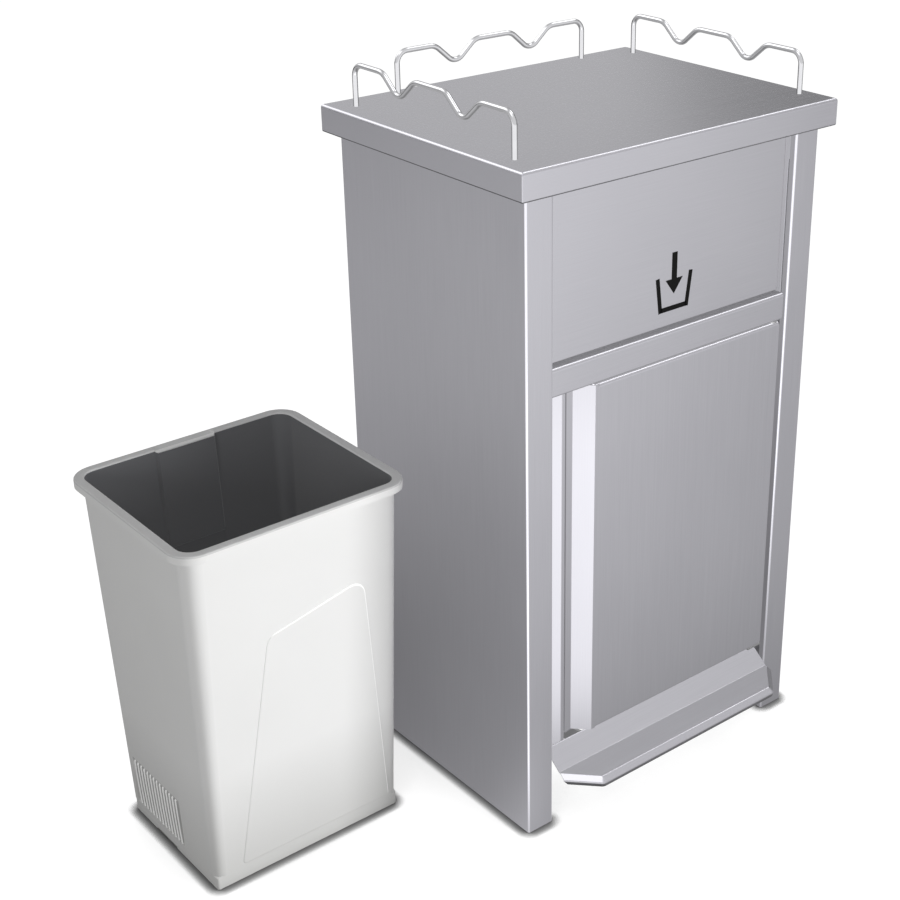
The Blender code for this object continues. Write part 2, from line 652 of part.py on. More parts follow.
def slot_outline(axis_point, length, rise):
    """The long hole at a lever's eye, along the lever."""
    radius = ROD_PIN_RADIUS + RUNNING_GAP
    outline = arc((SLOT_PLAY - length, 0.0), radius, -math.pi / 2, math.pi / 2, 6)
    outline += arc((-SLOT_PLAY - length, 0.0), radius, math.pi / 2, 3 * math.pi / 2, 6)
    cos, sin = math.cos(-rise), math.sin(-rise)
    return [(axis_point[0] + y * cos - z * sin, axis_point[1] + y * sin + z * cos) for y, z in outline]


def build_crank(name, axis_point, reach, rise, hub, eye, bore):
    """A lever on a shaft, with a slot that its pin crosses as the lever swings from rise up to rise down."""
    length = reach * (1 + 1 / math.cos(rise)) / 2
    low = CRANK_X - CRANK_THICKNESS / 2
    high = CRANK_X + CRANK_THICKNESS / 2
    centre = axis_point.yz
    plate = prism_mesh(name, crank_outline(centre, length, rise, hub, eye), "X", low, high)
    crank = add_object(name, plate, PARTS, BRIGHT, axis_point)
    drill = cylinder_mesh(name + " bore", "X", centre, bore + SEAT, low - SHEET, high + SHEET)
    change(crank, name + " bore", drill, "DIFFERENCE")
    slot = prism_mesh(name + " slot", slot_outline(centre, length, rise), "X", low - SHEET, high + SHEET)
    change(crank, name + " slot", slot, "DIFFERENCE")


def build_linkage():
    """The two levers and the pull rod between them, in the channel behind the left post."""
    build_crank(
        "flap_crank", FLAP_AXIS, FLAP_PIN_REACH, FLAP_SWING / 2, FLAP_CRANK_HUB, FLAP_CRANK_EYE,
        FLAP_AXLE_RADIUS)
    build_crank(
        "pedal_crank", PEDAL_AXIS, PEDAL_PIN_REACH, PEDAL_SWING / 2, CRANK_HUB, CRANK_EYE, TUBE_RADIUS)
    foot = Vector((ROD_X, ROD_Y, ROD_LOW))
    shaft = cylinder_mesh(
        "pull rod", "Z", (ROD_X, ROD_Y), ROD_RADIUS, ROD_LOW - ROD_END, ROD_HIGH + ROD_END, 16)
    rod = add_object("pull_rod", shaft, PARTS, BRIGHT, foot)
    tip = CRANK_X - CRANK_THICKNESS
    for name, height in (("lower", ROD_LOW), ("upper", ROD_HIGH)):
        pin = cylinder_mesh(name + " pin", "X", (ROD_Y, height), ROD_PIN_RADIUS, tip, ROD_X, 16)
        change(rod, name + " rod pin", pin, "UNION")


def offset_points(points, distance):
    """The open plan polyline moved to its right by the distance, with mitred corners."""
    points = [Vector(point) for point in points]
    ways = [(after - before).normalized() for before, after in zip(points, points[1:])]
    sides = [Vector((way.y, -way.x)) for way in ways]
    moved = [points[0] + sides[0] * distance]
    for point, before, after in zip(points[1:], sides, sides[1:]):
        mitre = before + after
        moved.append(point + mitre * (2 * distance / mitre.length_squared))
    moved.append(points[-1] + sides[-1] * distance)
    return moved


def build_pedal_plate():
    """The folded pedal: a rear flange, a sloping face and a tread with turned-down lips on three sides."""
    front_x = PEDAL_X - TREAD_CHAMFER
    edge = [(-PEDAL_X, FOLD_Y), (-front_x, TREAD_FRONT), (front_x, TREAD_FRONT), (PEDAL_X, FOLD_Y)]
    levels = [
        (0.0, TREAD_HEIGHT), (LIP_OUT, TREAD_HEIGHT - LIP_DOWN),
        (LIP_OUT - LIP_RETURN / 2, TREAD_HEIGHT - LIP_DOWN - LIP_RETURN),
    ]
    bm = bmesh.new()
    rows = [[bm.verts.new((*point, z)) for point in offset_points(edge, out)] for out, z in levels]
    tread = bm.faces.new(rows[0])
    for row, below in zip(rows, rows[1:]):
        for index in range(len(edge) - 1):
            bm.faces.new((row[index], row[index + 1], below[index + 1], below[index]))
    seam = [rows[0][0], rows[0][-1]]
    for y, z in ((UPPER_Y, UPPER_Z), (UPPER_Y, UPPER_Z - REAR_DROP)):
        following = [bm.verts.new((sign * PEDAL_X, y, z)) for sign in (-1, 1)]
        bm.faces.new((seam[0], seam[1], following[1], following[0]))
        seam = following
    bm.normal_update()
    bmesh.ops.recalc_face_normals(bm, faces=bm.faces)
    tread.normal_update()
    if tread.normal.z < 0:
        bmesh.ops.reverse_faces(bm, faces=bm.faces)
    plate = add_object("pedal_plate", mesh_from(bm, "pedal_plate"), PARTS, STEEL, PEDAL_AXIS)
    solid = plate.modifiers.new("sheet thickness", "SOLIDIFY")
    solid.thickness = PEDAL_SHEET
    solid.offset = -1.0
    solid.use_even_offset = True


def build_pedal_shaft():
    """The cross tube on its two bearings, and the arms that carry the pedal plate."""
    centre = PEDAL_AXIS.yz
    tube_mesh = cylinder_mesh("pedal tube", "X", centre, TUBE_RADIUS, -TUBE_X, TUBE_X)
    tube = add_object("pedal_tube", tube_mesh, PARTS, BRIGHT, PEDAL_AXIS)
    end = PANEL_INNER - 2 * SEAT
    tip = UPPER_Y + SEAT
    tip_top = UPPER_Z - ARM_TOP_GAP
    arm = arc(centre, ARM_HUB, -math.pi / 2, math.pi / 2, 12)
    arm += [(tip, tip_top), (tip, tip_top - ARM_TIP_HEIGHT)]
    for side, sign in (("left", -1), ("right", 1)):
        xs = sorted((sign * (TUBE_X - SHEET), sign * end))
        stub = cylinder_mesh(side + " stub", "X", centre, STUB_RADIUS, xs[0], xs[1])
        change(tube, side + " stub axle", stub, "UNION")

        xs = sorted((sign * (PANEL_INNER - SEAT), sign * (PANEL_INNER - SEAT - BEARING_LENGTH)))
        bearing = add_object(
            side + "_pedal_bearing",
            cylinder_mesh(side + " bearing", "X", centre, BEARING_RADIUS, xs[0], xs[1]), PARTS, BUSHING)
        bore = cylinder_mesh(
            side + " bearing bore", "X", centre, STUB_RADIUS + SEAT, xs[0] - SHEET, xs[1] + SHEET)
        change(bearing, side + " bearing bore", bore, "DIFFERENCE")

        middle = sign * ARM_SPACING / 2
        low = middle - ARM_THICKNESS / 2
        high = middle + ARM_THICKNESS / 2
        lever = add_object(
            side + "_pedal_arm", prism_mesh(side + " arm", arm, "X", low, high), PARTS, BRIGHT, PEDAL_AXIS)
        hole = cylinder_mesh(side + " arm hole", "X", centre, TUBE_RADIUS + SEAT, low - SHEET, high + SHEET)
        change(lever, side + " arm hole", hole, "DIFFERENCE")


def tray_rail_points():
    """One rail's route along its length and height: post, flat, dip, flat, dip, flat, post."""
    half = TRAY_RAIL_LENGTH / 2
    flat = WORKTOP_HEIGHT + TRAY_RAIL_HEIGHT
    dip = flat - DIP_DEPTH
    route = [(-half, WORKTOP_HEIGHT + SEAT), (-half, flat)]
    radii = [RAIL_CORNER]
    for middle in (-DIP_SPACING / 2, DIP_SPACING / 2):
        route += [(middle - DIP_TOP / 2, flat), (middle - DIP_BOTTOM / 2, dip)]
        route += [(middle + DIP_BOTTOM / 2, dip), (middle + DIP_TOP / 2, flat)]
        radii += [DIP_SHOULDER, DIP_FLOOR, DIP_FLOOR, DIP_SHOULDER]
    route += [(half, flat), (half, WORKTOP_HEIGHT + SEAT)]
    radii += [RAIL_CORNER]
    return filleted(route, radii, 4)


def build_tray_rail(name, place):
    """A bent rod along the route, each point put in its plane by the given function."""
    points = [place(point.x, point.y) for point in tray_rail_points()]
    curve = bpy.data.curves.new(name, "CURVE")
    curve.dimensions = "3D"
    curve.bevel_depth = RAIL_ROD
    curve.bevel_resolution = 2
    curve.use_fill_caps = True
    spline = curve.splines.new("POLY")
    spline.points.add(len(points) - 1)
    for target, point in zip(spline.points, points):
        target.co = (*point, 1.0)
    curve.materials.append(ROD_STEEL)
    rail = bpy.data.objects.new(name, curve)
    rail.parent = ROOT
    PARTS.objects.link(rail)


def build_tray_rails():
    """Rails along the left, the back and the right of the worktop."""
    middle = (LEFT_RAIL_X + RIGHT_RAIL_X) / 2
    build_tray_rail("left_tray_rail", lambda s, z: (LEFT_RAIL_X, SIDE_RAIL_Y + s, z))
    build_tray_rail("back_tray_rail", lambda s, z: (middle + s, BACK_RAIL_Y, z))
    build_tray_rail("right_tray_rail", lambda s, z: (RIGHT_RAIL_X, SIDE_RAIL_Y + s, z))


def bin_share(z):
    """How far a height is up the bin's leaning wall, from 0 at the plinth to 1 at the rim."""
    return (z - BIN_PLINTH) / (BIN_HEIGHT - BIN_PLINTH)


def bin_half(base, rim, z):
    """Half the bin's outer wall at a height, where the wall leans out from the plinth to the rim."""
    top = rim / 2 - BIN_RIM_FLANGE
    return base / 2 + (top - base / 2) * bin_share(z)


def bin_ring(inset, z, wall_height=None):
    """A ring inside the outer wall by the inset, at z, or at the wall's size of another height."""
    at = z if wall_height is None else wall_height
    half_x = bin_half(BIN_BASE_X, BIN_RIM_X, at) - inset
    half_y = bin_half(BIN_BASE_Y, BIN_RIM_Y, at) - inset
    corner = BIN_CORNER_BASE + (BIN_CORNER_RIM - BIN_CORNER_BASE) * bin_share(at) - inset
    return rounded_ring("Z", (BIN_X, BIN_BACKSET), half_x, half_y, corner, z, 6)


def plinth_ring(inset, corner, z):
    """A ring of the plinth, which is set in further at the back than at the other sides."""
    set_in = BIN_PLINTH_STEP + inset
    centre = (BIN_X, BIN_BACKSET - BIN_PLINTH_BACK / 2)
    half_y = (BIN_BASE_Y - BIN_PLINTH_BACK) / 2 - set_in
    return rounded_ring("Z", centre, BIN_BASE_X / 2 - set_in, half_y, corner, z, 6)


def tilted(mesh, face, lean, inward):
    """Lean a mesh drawn upright on the floor at the wall's foot, so that it follows the wall's slope."""
    axis = Vector((0.0, 0.0, 1.0)).cross(inward)
    turn = Matrix.Rotation(-lean, 4, axis)
    mesh.transform(Matrix.Translation(face) @ turn @ Matrix.Translation(-face))
    return mesh


def scoop_line(moved):
    """Heights and places of the hollow behind the bin's ribs from its head to its foot, moved in by a distance."""
    wall = BIN_X - BIN_BASE_X / 2 + moved
    line = []
    for step in range(SCOOP_STEPS + 1):
        share = step / SCOOP_STEPS
        line.append((RIB_LOW + RIB_LENGTH * (1 - share), wall + SCOOP_DEPTH * math.sin(share * math.pi / 2)))
    return line


def rib_line():
    """Heights and places of a rib's outer edge from its head to its foot, where it is drawn in."""
    wall = BIN_X - BIN_BASE_X / 2 - RIB_PROUD
    line = []
    for step in range(SCOOP_STEPS + 1):
        share = step / SCOOP_STEPS
        height = RIB_LOW - BIN_WALL / 2 + (RIB_LENGTH - RIB_WIDTH / 2) * (1 - share)
        line.append((height, wall + RIB_DRAW * share * share))
    return line


def build_bin_ribs(shell, foot, lean):
    """A hollow at the foot of the bin's left wall, with its back thickened to suit, and the ribs that cross it."""
    inward = Vector((1.0, 0.0, 0.0))
    middle = BIN_BACKSET + RIB_MIDDLE
    reach = RIB_PITCH * (RIB_COUNT - 1) / 2 + SCOOP_EDGE
    head = RIB_LOW + RIB_LENGTH
    core = foot.x + BIN_WALL / 2
    inner = foot.x + SCOOP_DEPTH + BIN_WALL
    outline = [(head + BIN_WALL, core)] + scoop_line(BIN_WALL) + [(BIN_FLOOR / 2, inner), (BIN_FLOOR / 2, core)]
    backing = prism_mesh("rib backing", outline, "Y", middle - reach - BIN_WALL, middle + reach + BIN_WALL)
    change(shell, "wall behind the ribs", tilted(backing, foot, lean, inward), "UNION")

    outer = foot.x - BIN_WALL
    outline = [(head, outer)] + scoop_line(0.0) + [(RIB_LOW, outer)]
    hollow = prism_mesh("rib hollow", outline, "Y", middle - reach, middle + reach)
    change(shell, "hollow behind the ribs", tilted(hollow, foot, lean, inward), "DIFFERENCE")

    outline = rib_line() + [(RIB_LOW - BIN_WALL / 2, foot.x + SCOOP_DEPTH)] + scoop_line(BIN_WALL / 2)[::-1]
    bm = bmesh.new()
    for index in range(RIB_COUNT):
        y = middle + (index - (RIB_COUNT - 1) / 2) * RIB_PITCH
        bm.from_mesh(prism_mesh("rib", outline, "Y", y - RIB_WIDTH / 2, y + RIB_WIDTH / 2))
    ribs = mesh_from(bm, "foot ribs")
    change(shell, "ribs at the foot", tilted(ribs, foot, lean, inward), "UNION")


def build_bin():
    """The moulded bin: a leaning shell with a turned rim, a raised front panel, ribs and a rear grasp."""
    under = BIN_HEIGHT - BIN_WALL
    rim = -BIN_RIM_FLANGE
    lip = BIN_HEIGHT - BIN_RIM_LIP
    plinth_top = BIN_PLINTH - BIN_PLINTH_SLOPE
    rings = [
        plinth_ring(BIN_WALL, BIN_FLOOR_CORNER, BIN_FLOOR),
        plinth_ring(BIN_WALL, BIN_FLOOR_CORNER, plinth_top),
        bin_ring(BIN_WALL, BIN_PLINTH + BIN_WALL),
        bin_ring(BIN_WALL, BIN_HEIGHT),
        bin_ring(rim, BIN_HEIGHT),
        bin_ring(rim, lip, BIN_HEIGHT),
        bin_ring(rim + BIN_WALL, lip, BIN_HEIGHT),
        bin_ring(rim + BIN_WALL, under, BIN_HEIGHT),
        bin_ring(0.0, under),
        bin_ring(0.0, BIN_PLINTH),
        plinth_ring(0.0, BIN_PLINTH_CORNER, plinth_top),
        plinth_ring(0.0, BIN_PLINTH_CORNER, 0.0),
    ]
    shell = ring_loft("waste_bin", rings, PLASTIC, Vector((BIN_X, BIN_BACKSET, 0.0)))
    rise = BIN_HEIGHT - BIN_PLINTH
    lean_x = math.atan2(bin_half(BIN_BASE_X, BIN_RIM_X, BIN_HEIGHT) - BIN_BASE_X / 2, rise)
    lean_y = math.atan2(bin_half(BIN_BASE_Y, BIN_RIM_Y, BIN_HEIGHT) - BIN_BASE_Y / 2, rise)
    front = Vector((BIN_X, BIN_BACKSET - BIN_BASE_Y / 2, BIN_PLINTH))
    left = Vector((BIN_X - BIN_BASE_X / 2, BIN_BACKSET, BIN_PLINTH))
    back = Vector((BIN_X, BIN_BACKSET + BIN_BASE_Y / 2, BIN_PLINTH))

    foot_middle = (EMBOSS_LOW, BIN_X)
    corners = [
        foot_middle, (EMBOSS_LOW, BIN_X + EMBOSS_FOOT_RIGHT),
        (EMBOSS_RIGHT_TOP, BIN_X + EMBOSS_HEAD_RIGHT), (EMBOSS_LEFT_TOP, BIN_X - EMBOSS_HEAD_LEFT),
        (EMBOSS_LOW, BIN_X - EMBOSS_FOOT_LEFT), foot_middle,
    ]
    radii = [EMBOSS_FOOT_CORNER, EMBOSS_CORNER, EMBOSS_CORNER, EMBOSS_FOOT_CORNER]
    outline = filleted(corners, radii, 6)[:-1]
    panel = prism_mesh("front panel", outline, "Y", front.y - EMBOSS_HEIGHT, front.y + BIN_WALL / 2)
    change(shell, "raised front panel", tilted(panel, front, lean_y, Vector((0.0, 1.0, 0.0))), "UNION")

    build_bin_ribs(shell, left, lean_x)
    notch = box_mesh(
        "plinth notch", (left.x - BIN_WALL, BIN_BACKSET + NOTCH_FRONT, -BIN_WALL),
        (left.x + NOTCH_DEPTH, BIN_BACKSET + NOTCH_BACK, NOTCH_HEIGHT))
    change(shell, "notch under the plinth", notch, "DIFFERENCE")

    low = BIN_HEIGHT - GRASP_LENGTH
    half = GRASP_WIDTH / 2
    inside = box_mesh(
        "grasp wall", (BIN_X - half - BIN_WALL, back.y - GRASP_DEPTH - BIN_WALL, low - BIN_WALL),
        (BIN_X + half + BIN_WALL, back.y - BIN_WALL / 2, BIN_HEIGHT - GRASP_DIP))
    change(shell, "rear grasp wall", tilted(inside, back, lean_y, Vector((0.0, -1.0, 0.0))), "UNION")
    hollow = box_mesh(
        "grasp hollow", (BIN_X - half, back.y - GRASP_DEPTH, low),
        (BIN_X + half, back.y + SHEET, BIN_HEIGHT - BIN_RIM_LIP - GRASP_DIP))
    change(shell, "rear grasp hollow", tilted(hollow, back, lean_y, Vector((0.0, -1.0, 0.0))), "DIFFERENCE")


build_worktop()
build_body()
build_jamb_and_shelf()
build_door()
build_cheeks()
build_flap()
build_linkage()
build_pedal_plate()
build_pedal_shaft()
build_tray_rails()
build_bin()
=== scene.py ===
# %% [markdown]
# # A tray return cabinet and its loose bin
# The solids of the part are loaded as a fixed frame. This lesson dresses them: the sheets, rods and moulded
# bin that show are drawn again as smooth surfaces, and every piece gets a finish made of shader nodes.
# Lengths are metres, +Z is up, and the cabinet's front faces -Y.

# %% Load the frame
import math

import bmesh
import bpy
import numpy as np
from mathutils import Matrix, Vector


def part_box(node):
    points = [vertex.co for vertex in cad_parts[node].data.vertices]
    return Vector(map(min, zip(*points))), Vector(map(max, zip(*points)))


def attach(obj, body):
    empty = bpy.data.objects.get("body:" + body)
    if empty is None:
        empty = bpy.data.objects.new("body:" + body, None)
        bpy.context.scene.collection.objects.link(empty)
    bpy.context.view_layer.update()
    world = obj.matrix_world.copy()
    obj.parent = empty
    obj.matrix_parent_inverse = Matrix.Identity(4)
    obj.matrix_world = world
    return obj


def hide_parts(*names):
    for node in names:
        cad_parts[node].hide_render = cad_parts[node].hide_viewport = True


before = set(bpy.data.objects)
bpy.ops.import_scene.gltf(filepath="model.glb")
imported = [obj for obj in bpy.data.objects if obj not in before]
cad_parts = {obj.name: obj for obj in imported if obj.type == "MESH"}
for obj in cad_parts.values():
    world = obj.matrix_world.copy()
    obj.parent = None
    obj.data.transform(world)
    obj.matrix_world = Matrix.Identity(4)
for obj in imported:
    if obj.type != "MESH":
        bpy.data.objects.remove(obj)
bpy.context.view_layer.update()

scene = bpy.context.scene
scene.view_settings.view_transform = "Standard"

# %% [markdown]
# ## The camera
# A camera is a place, a direction and a lens. Here it stands in front and to the left, above the worktop,
# and looks down. The lens is moved sideways in its mount, as on a view camera, because the picture's middle
# isn't where the lens points.

# %% Set up the camera
IMAGE_SIZE = 900.0
FOCAL_PIXELS = 1658.8
LENS_AXIS = (546.4, 405.15)
CAMERA_PLACE = (-1.3584, -1.7887, 1.6445)
CAMERA_YAW = math.radians(40.1645)
CAMERA_PITCH = math.radians(24.398)
SENSOR = 36.0

lens = bpy.data.cameras.new("camera")
lens.sensor_width = SENSOR
lens.lens = FOCAL_PIXELS / IMAGE_SIZE * SENSOR
lens.shift_x = 0.5 - LENS_AXIS[0] / IMAGE_SIZE
lens.shift_y = LENS_AXIS[1] / IMAGE_SIZE - 0.5
camera = bpy.data.objects.new("camera", lens)
camera.location = CAMERA_PLACE
camera.rotation_euler = (math.pi / 2 - CAMERA_PITCH, 0.0, -CAMERA_YAW)
scene.collection.objects.link(camera)
scene.camera = camera
print("lens:", round(lens.lens, 2), "mm")

# %% [markdown]
# ## Tools for surfaces
# Sheet metal, bent rod and a moulded bin are all one idea: a row of points, repeated with a change. A closed
# row that grows or moves gives a shell, so a few small functions on whole arrays are enough for every piece.
# Beside each bend one more point keeps the flat part flat, since smooth shading would otherwise tilt it.

# %% Tools for paths, rings and shells
EASE = 0.0006


def limits(node):
    """The lowest and highest corner of a solid, as arrays."""
    low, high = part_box(node)
    return np.array(low), np.array(high)


def unit(vector):
    """The vector at length one."""
    return vector / np.linalg.norm(vector)


def rounded_path(corners, radius, steps=8):
    """An open line through corners, with a round bend at each inner one.

    Where the lines back and ahead meet at the angle 2h, a bend of radius r has its centre on the middle line
    at r / sin(h) and touches both lines at r / tan(h). Its points are the turn from one end to the other.
    """
    corners = np.asarray(corners, float)
    radii = np.broadcast_to(radius, len(corners) - 2)
    turn = np.linspace(0.0, 1.0, steps + 1)[:, None]
    path = [corners[:1]]
    for before, corner, after, size in zip(corners, corners[1:], corners[2:], radii):
        back = unit(before - corner)
        ahead = unit(after - corner)
        half = math.acos(np.clip(back @ ahead, -1.0, 1.0)) / 2
        centre = corner + unit(back + ahead) * size / math.sin(half)
        reach = size / math.tan(half)
        sweep = math.pi - 2 * half
        start = corner + back * reach - centre
        end = corner + ahead * reach - centre
        bend = (np.sin((1 - turn) * sweep) * start + np.sin(turn * sweep) * end) / math.sin(sweep)
        first = corner + back * (reach + EASE)
        last = corner + ahead * (reach + EASE)
        path += [first[None], centre + bend, last[None]]
    path.append(corners[-1:])
    return np.concatenate(path)


def left_of(path):
    """The direction to the left of a plane path at each point: its tangent turned by a right angle."""
    tangent = np.gradient(path, axis=0)
    tangent /= np.linalg.norm(tangent, axis=1, keepdims=True)
    return np.stack((-tangent[:, 1], tangent[:, 0]), axis=1)


def placed(axis, plane, along):
    """Plane points at a distance along an axis: x, y on Z; y, z on X; x, z on Y."""
    along = np.broadcast_to(along, plane.shape[:-1])
    order = {"X": (along, plane[..., 0], plane[..., 1]),
             "Y": (plane[..., 0], along, plane[..., 1]),
             "Z": (plane[..., 0], plane[..., 1], along)}
    return np.stack(order[axis], axis=-1)


def grid_quads(rows, columns, closed):
    """The four-sided faces of a grid of points in row order. If closed, the last column meets the first."""
    index = np.arange(rows * columns).reshape(rows, columns)
    if closed:
        index = np.hstack((index, index[:, :1]))
    quads = np.stack((index[:-1, :-1], index[:-1, 1:], index[1:, 1:], index[1:, :-1]), axis=-1)
    return quads.reshape(-1, 4).tolist()


def lofted(rows):
    """A closed shell through rings: rows x columns of points, with a cap on the first and the last ring."""
    count, around = rows.shape[:2]
    faces = grid_quads(count, around, True)
    faces.append(list(range(around)))
    faces.append(list(range((count - 1) * around, count * around)))
    return rows.reshape(-1, 3), faces


def folded_sheet(corners, bend, thickness, axis, low, high):
    """A bent sheet: its outer line, and the same line moved left by the thickness, carried along an axis."""
    outer = rounded_path(corners, bend)
    inner = outer + left_of(outer) * thickness
    loop = np.concatenate((outer, inner[::-1]))
    points = np.concatenate((placed(axis, loop, low), placed(axis, loop, high)))
    around = len(loop)
    faces = grid_quads(2, around, True)
    half = np.arange(len(outer) - 1)
    strip = np.stack((half, half + 1, around - 2 - half, around - 1 - half), axis=1)
    faces += strip.tolist() + (strip + around).tolist()
    return points, faces


def rounded_ring(half_u, half_v, corner, steps=8):
    """Rounded rectangles about the origin, one for each size given, anticlockwise from the right side.

    A corner arc at the angle a is (half - corner) + corner * (cos a, sin a), with a point beyond each end.
    """
    half_u, half_v, corner = (np.atleast_1d(np.asarray(value, float))[:, None]
                              for value in np.broadcast_arrays(half_u, half_v, corner))
    turn = np.linspace(0.0, math.pi / 2, steps + 1)[None]
    sides = []
    for quarter, (sign_u, sign_v) in enumerate(((1, 1), (-1, 1), (-1, -1), (1, -1))):
        angle = turn + quarter * math.pi / 2
        u = sign_u * (half_u - corner) + corner * np.cos(angle)
        v = sign_v * (half_v - corner) + corner * np.sin(angle)
        arc = np.stack((u, v), axis=-1)
        first = arc[:, :1] + EASE * np.array((math.sin(angle[0, 0]), -math.cos(angle[0, 0])))
        last = arc[:, -1:] + EASE * np.array((-math.sin(angle[0, -1]), math.cos(angle[0, -1])))
        sides += [first, arc, last]
    return np.concatenate(sides, axis=1)


def plate(outline, axis, low, high):
    """A flat outline carried from low to high along an axis, closed at both ends."""
    outline = np.asarray(outline, float)
    return lofted(np.stack((placed(axis, outline, low), placed(axis, outline, high))))


print("surface tools ready")

# %% Tools that make a piece
SHARP_ANGLE = math.radians(35.0)
FINE_EDGE = 0.0003
FINE_EDGE_ANGLE = math.radians(50.0)


def object_of(name, mesh):
    """An object of a mesh, smooth except at sharp edges, that other pieces don't mirror."""
    mesh.shade_smooth()
    mesh.set_sharp_from_angle(angle=SHARP_ANGLE)
    obj = bpy.data.objects.new(name, mesh)
    obj.visible_glossy = False
    scene.collection.objects.link(obj)
    return obj


def piece(name, shells, look, body, replaced=(), edge=0.0):
    """One object of closed shells with outward faces, which rides on a body.

    edge is the width of a fine round on sharp edges, where a cut sheet catches the light.
    """
    starts = np.cumsum([0] + [len(points) for points, faces in shells[:-1]]).tolist()
    corners = np.concatenate([points for points, faces in shells]).tolist()
    loops = [[corner + start for corner in face]
             for (points, faces), start in zip(shells, starts) for face in faces]
    mesh = bpy.data.meshes.new(name)
    mesh.from_pydata(corners, [], loops)
    form = bmesh.new()
    form.from_mesh(mesh)
    bmesh.ops.recalc_face_normals(form, faces=form.faces)
    form.to_mesh(mesh)
    form.free()
    mesh.materials.append(look)
    obj = object_of(name, mesh)
    if edge:
        rounding = obj.modifiers.new("fine edge", "BEVEL")
        rounding.width = edge
        rounding.segments = 2
        rounding.limit_method = "ANGLE"
        rounding.angle_limit = FINE_EDGE_ANGLE
    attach(obj, body)
    if replaced:
        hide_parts(*replaced)
    print(name, len(mesh.vertices), "points", len(mesh.polygons), "faces")
    return obj


# %% [markdown]
# ## Finishes
# Brushed steel is drawn over an abrasive belt, so it has fine streaks in one direction. A noise squeezed
# across that direction and stretched along it gives them, and changes the colour, the roughness and the bump
# a little. A second, wide noise changes only the colour, for the faint clouds of handling. Bends get a paler
# colour, a painted highlight. Shoes dull the pedal. Insides and hems are dull, and darker in colour: painted
# shade, beside the real shade that their diffuse part gets.

# %% Short ways to add shader nodes
WHITE = (1.0, 1.0, 1.0)


class Net:
    """The nodes of a material or a world, with short ways to add to them."""

    def __init__(self, owner):
        owner.use_nodes = True
        self.nodes = owner.node_tree.nodes
        self.links = owner.node_tree.links

    def fill(self, node, inputs):
        """Set inputs by name or number, each to another node's output or to a constant."""
        for key, value in inputs.items():
            socket = node.inputs[key]
            if isinstance(value, bpy.types.NodeSocket):
                self.links.new(value, socket)
            else:
                socket.default_value = (*value, 1.0) if socket.type == "RGBA" else value

    def add(self, kind, inputs, **settings):
        """A new node with its settings and its inputs."""
        made = self.nodes.new("ShaderNode" + kind)
        for name, value in settings.items():
            setattr(made, name, value)
        self.fill(made, inputs)
        return made

    def place(self, kind="Object"):
        """The coordinates of the point that is shaded."""
        return self.add("TexCoord", {}).outputs[kind]

    def noise(self, coordinates, scale, detail=2.0, stretch=(1.0, 1.0, 1.0)):
        """A noise on coordinates that are stretched first."""
        stretched = self.add("Mapping", {"Vector": coordinates, "Scale": stretch}).outputs["Vector"]
        return self.add("TexNoise", {"Vector": stretched, "Scale": scale, "Detail": detail}).outputs["Fac"]

    def between(self, value, low, high, start=0.3, stop=0.7, curve="LINEAR"):
        """A value from start to stop mapped to the range low to high."""
        inputs = {"Value": value, "From Min": start, "From Max": stop, "To Min": low, "To Max": high}
        return self.add("MapRange", inputs, interpolation_type=curve).outputs["Result"]

    def blend(self, share, first, second):
        """A colour between two, by a share from 0 to 1."""
        inputs = {"Factor": share, "A": first, "B": second}
        return self.add("Mix", inputs, data_type="RGBA").outputs["Result"]

    def calc(self, operation, first, second):
        """A sum, product or other operation on two values."""
        return self.add("Math", {0: first, 1: second}, operation=operation).outputs["Value"]

    def bump(self, shader, height, strength, depth):
        """A bump of a height on the shader's normal."""
        made = self.add("Bump", {"Strength": strength, "Distance": depth, "Height": height})
        self.fill(shader, {"Normal": made.outputs["Normal"]})


def finish(name):
    """A new material, its nodes and its surface shader."""
    look = bpy.data.materials.new(name)
    net = Net(look)
    return look, net, net.nodes["Principled BSDF"]


print("node tools ready")

# %% Brushed steel
FINE = 1400.0
LONG = 9.0
CLOUD_SCALE = 2.6
STREAK_SHARE = 0.55
STEEL_DARK = (0.520, 0.515, 0.555)
STEEL_LIGHT = (0.590, 0.585, 0.625)
STEEL_SPREAD = 0.04
METAL_GRAIN = 0.0002


def brushed_steel(name, along, tone=1.0, rough=0.33, metal=1.0, relief=0.10):
    """Sheet steel brushed along an axis: streaks from a noise stretched that way, and wide clouds.

    tone multiplies the colour, and relief is the strength of the streaks' bump.
    """
    look, net, shader = finish(name)
    place = net.place()
    streaks = net.noise(place, 1.0, stretch=[LONG if axis == along else FINE for axis in "XYZ"])
    clouds = net.noise(place, CLOUD_SCALE)
    fine = net.between(streaks, 0.0, STREAK_SHARE)
    wide = net.between(clouds, 0.0, 1 - STREAK_SHARE)
    dark, light = (tuple(tone * value for value in colour) for colour in (STEEL_DARK, STEEL_LIGHT))
    net.fill(shader, {"Base Color": net.blend(net.calc("ADD", fine, wide), dark, light),
                      "Roughness": net.between(streaks, rough - STEEL_SPREAD, rough + STEEL_SPREAD),
                      "Metallic": metal})
    net.bump(shader, streaks, relief, METAL_GRAIN)
    return look


STEEL_UPRIGHT = brushed_steel("steel_brushed_upright", "Z")
STEEL_ACROSS = brushed_steel("steel_brushed_across", "X")
STEEL_DEEP = brushed_steel("steel_brushed_deep", "Y")
STEEL_TOP = brushed_steel("steel_brushed_top", "X", rough=0.26, relief=0.01)
STEEL_TREAD = brushed_steel("steel_brushed_tread", "X", tone=0.96)
# A paler copy of the steel for the plates beside the flap: painted light.
STEEL_PAINTED_LIGHT = brushed_steel("steel_brushed_painted_light", "Z", tone=1.25)
# A paler copy of the steel for the bends: painted highlight.
STEEL_BEND_HIGHLIGHT = brushed_steel("steel_bend_painted_highlight", "Z", tone=1.5)
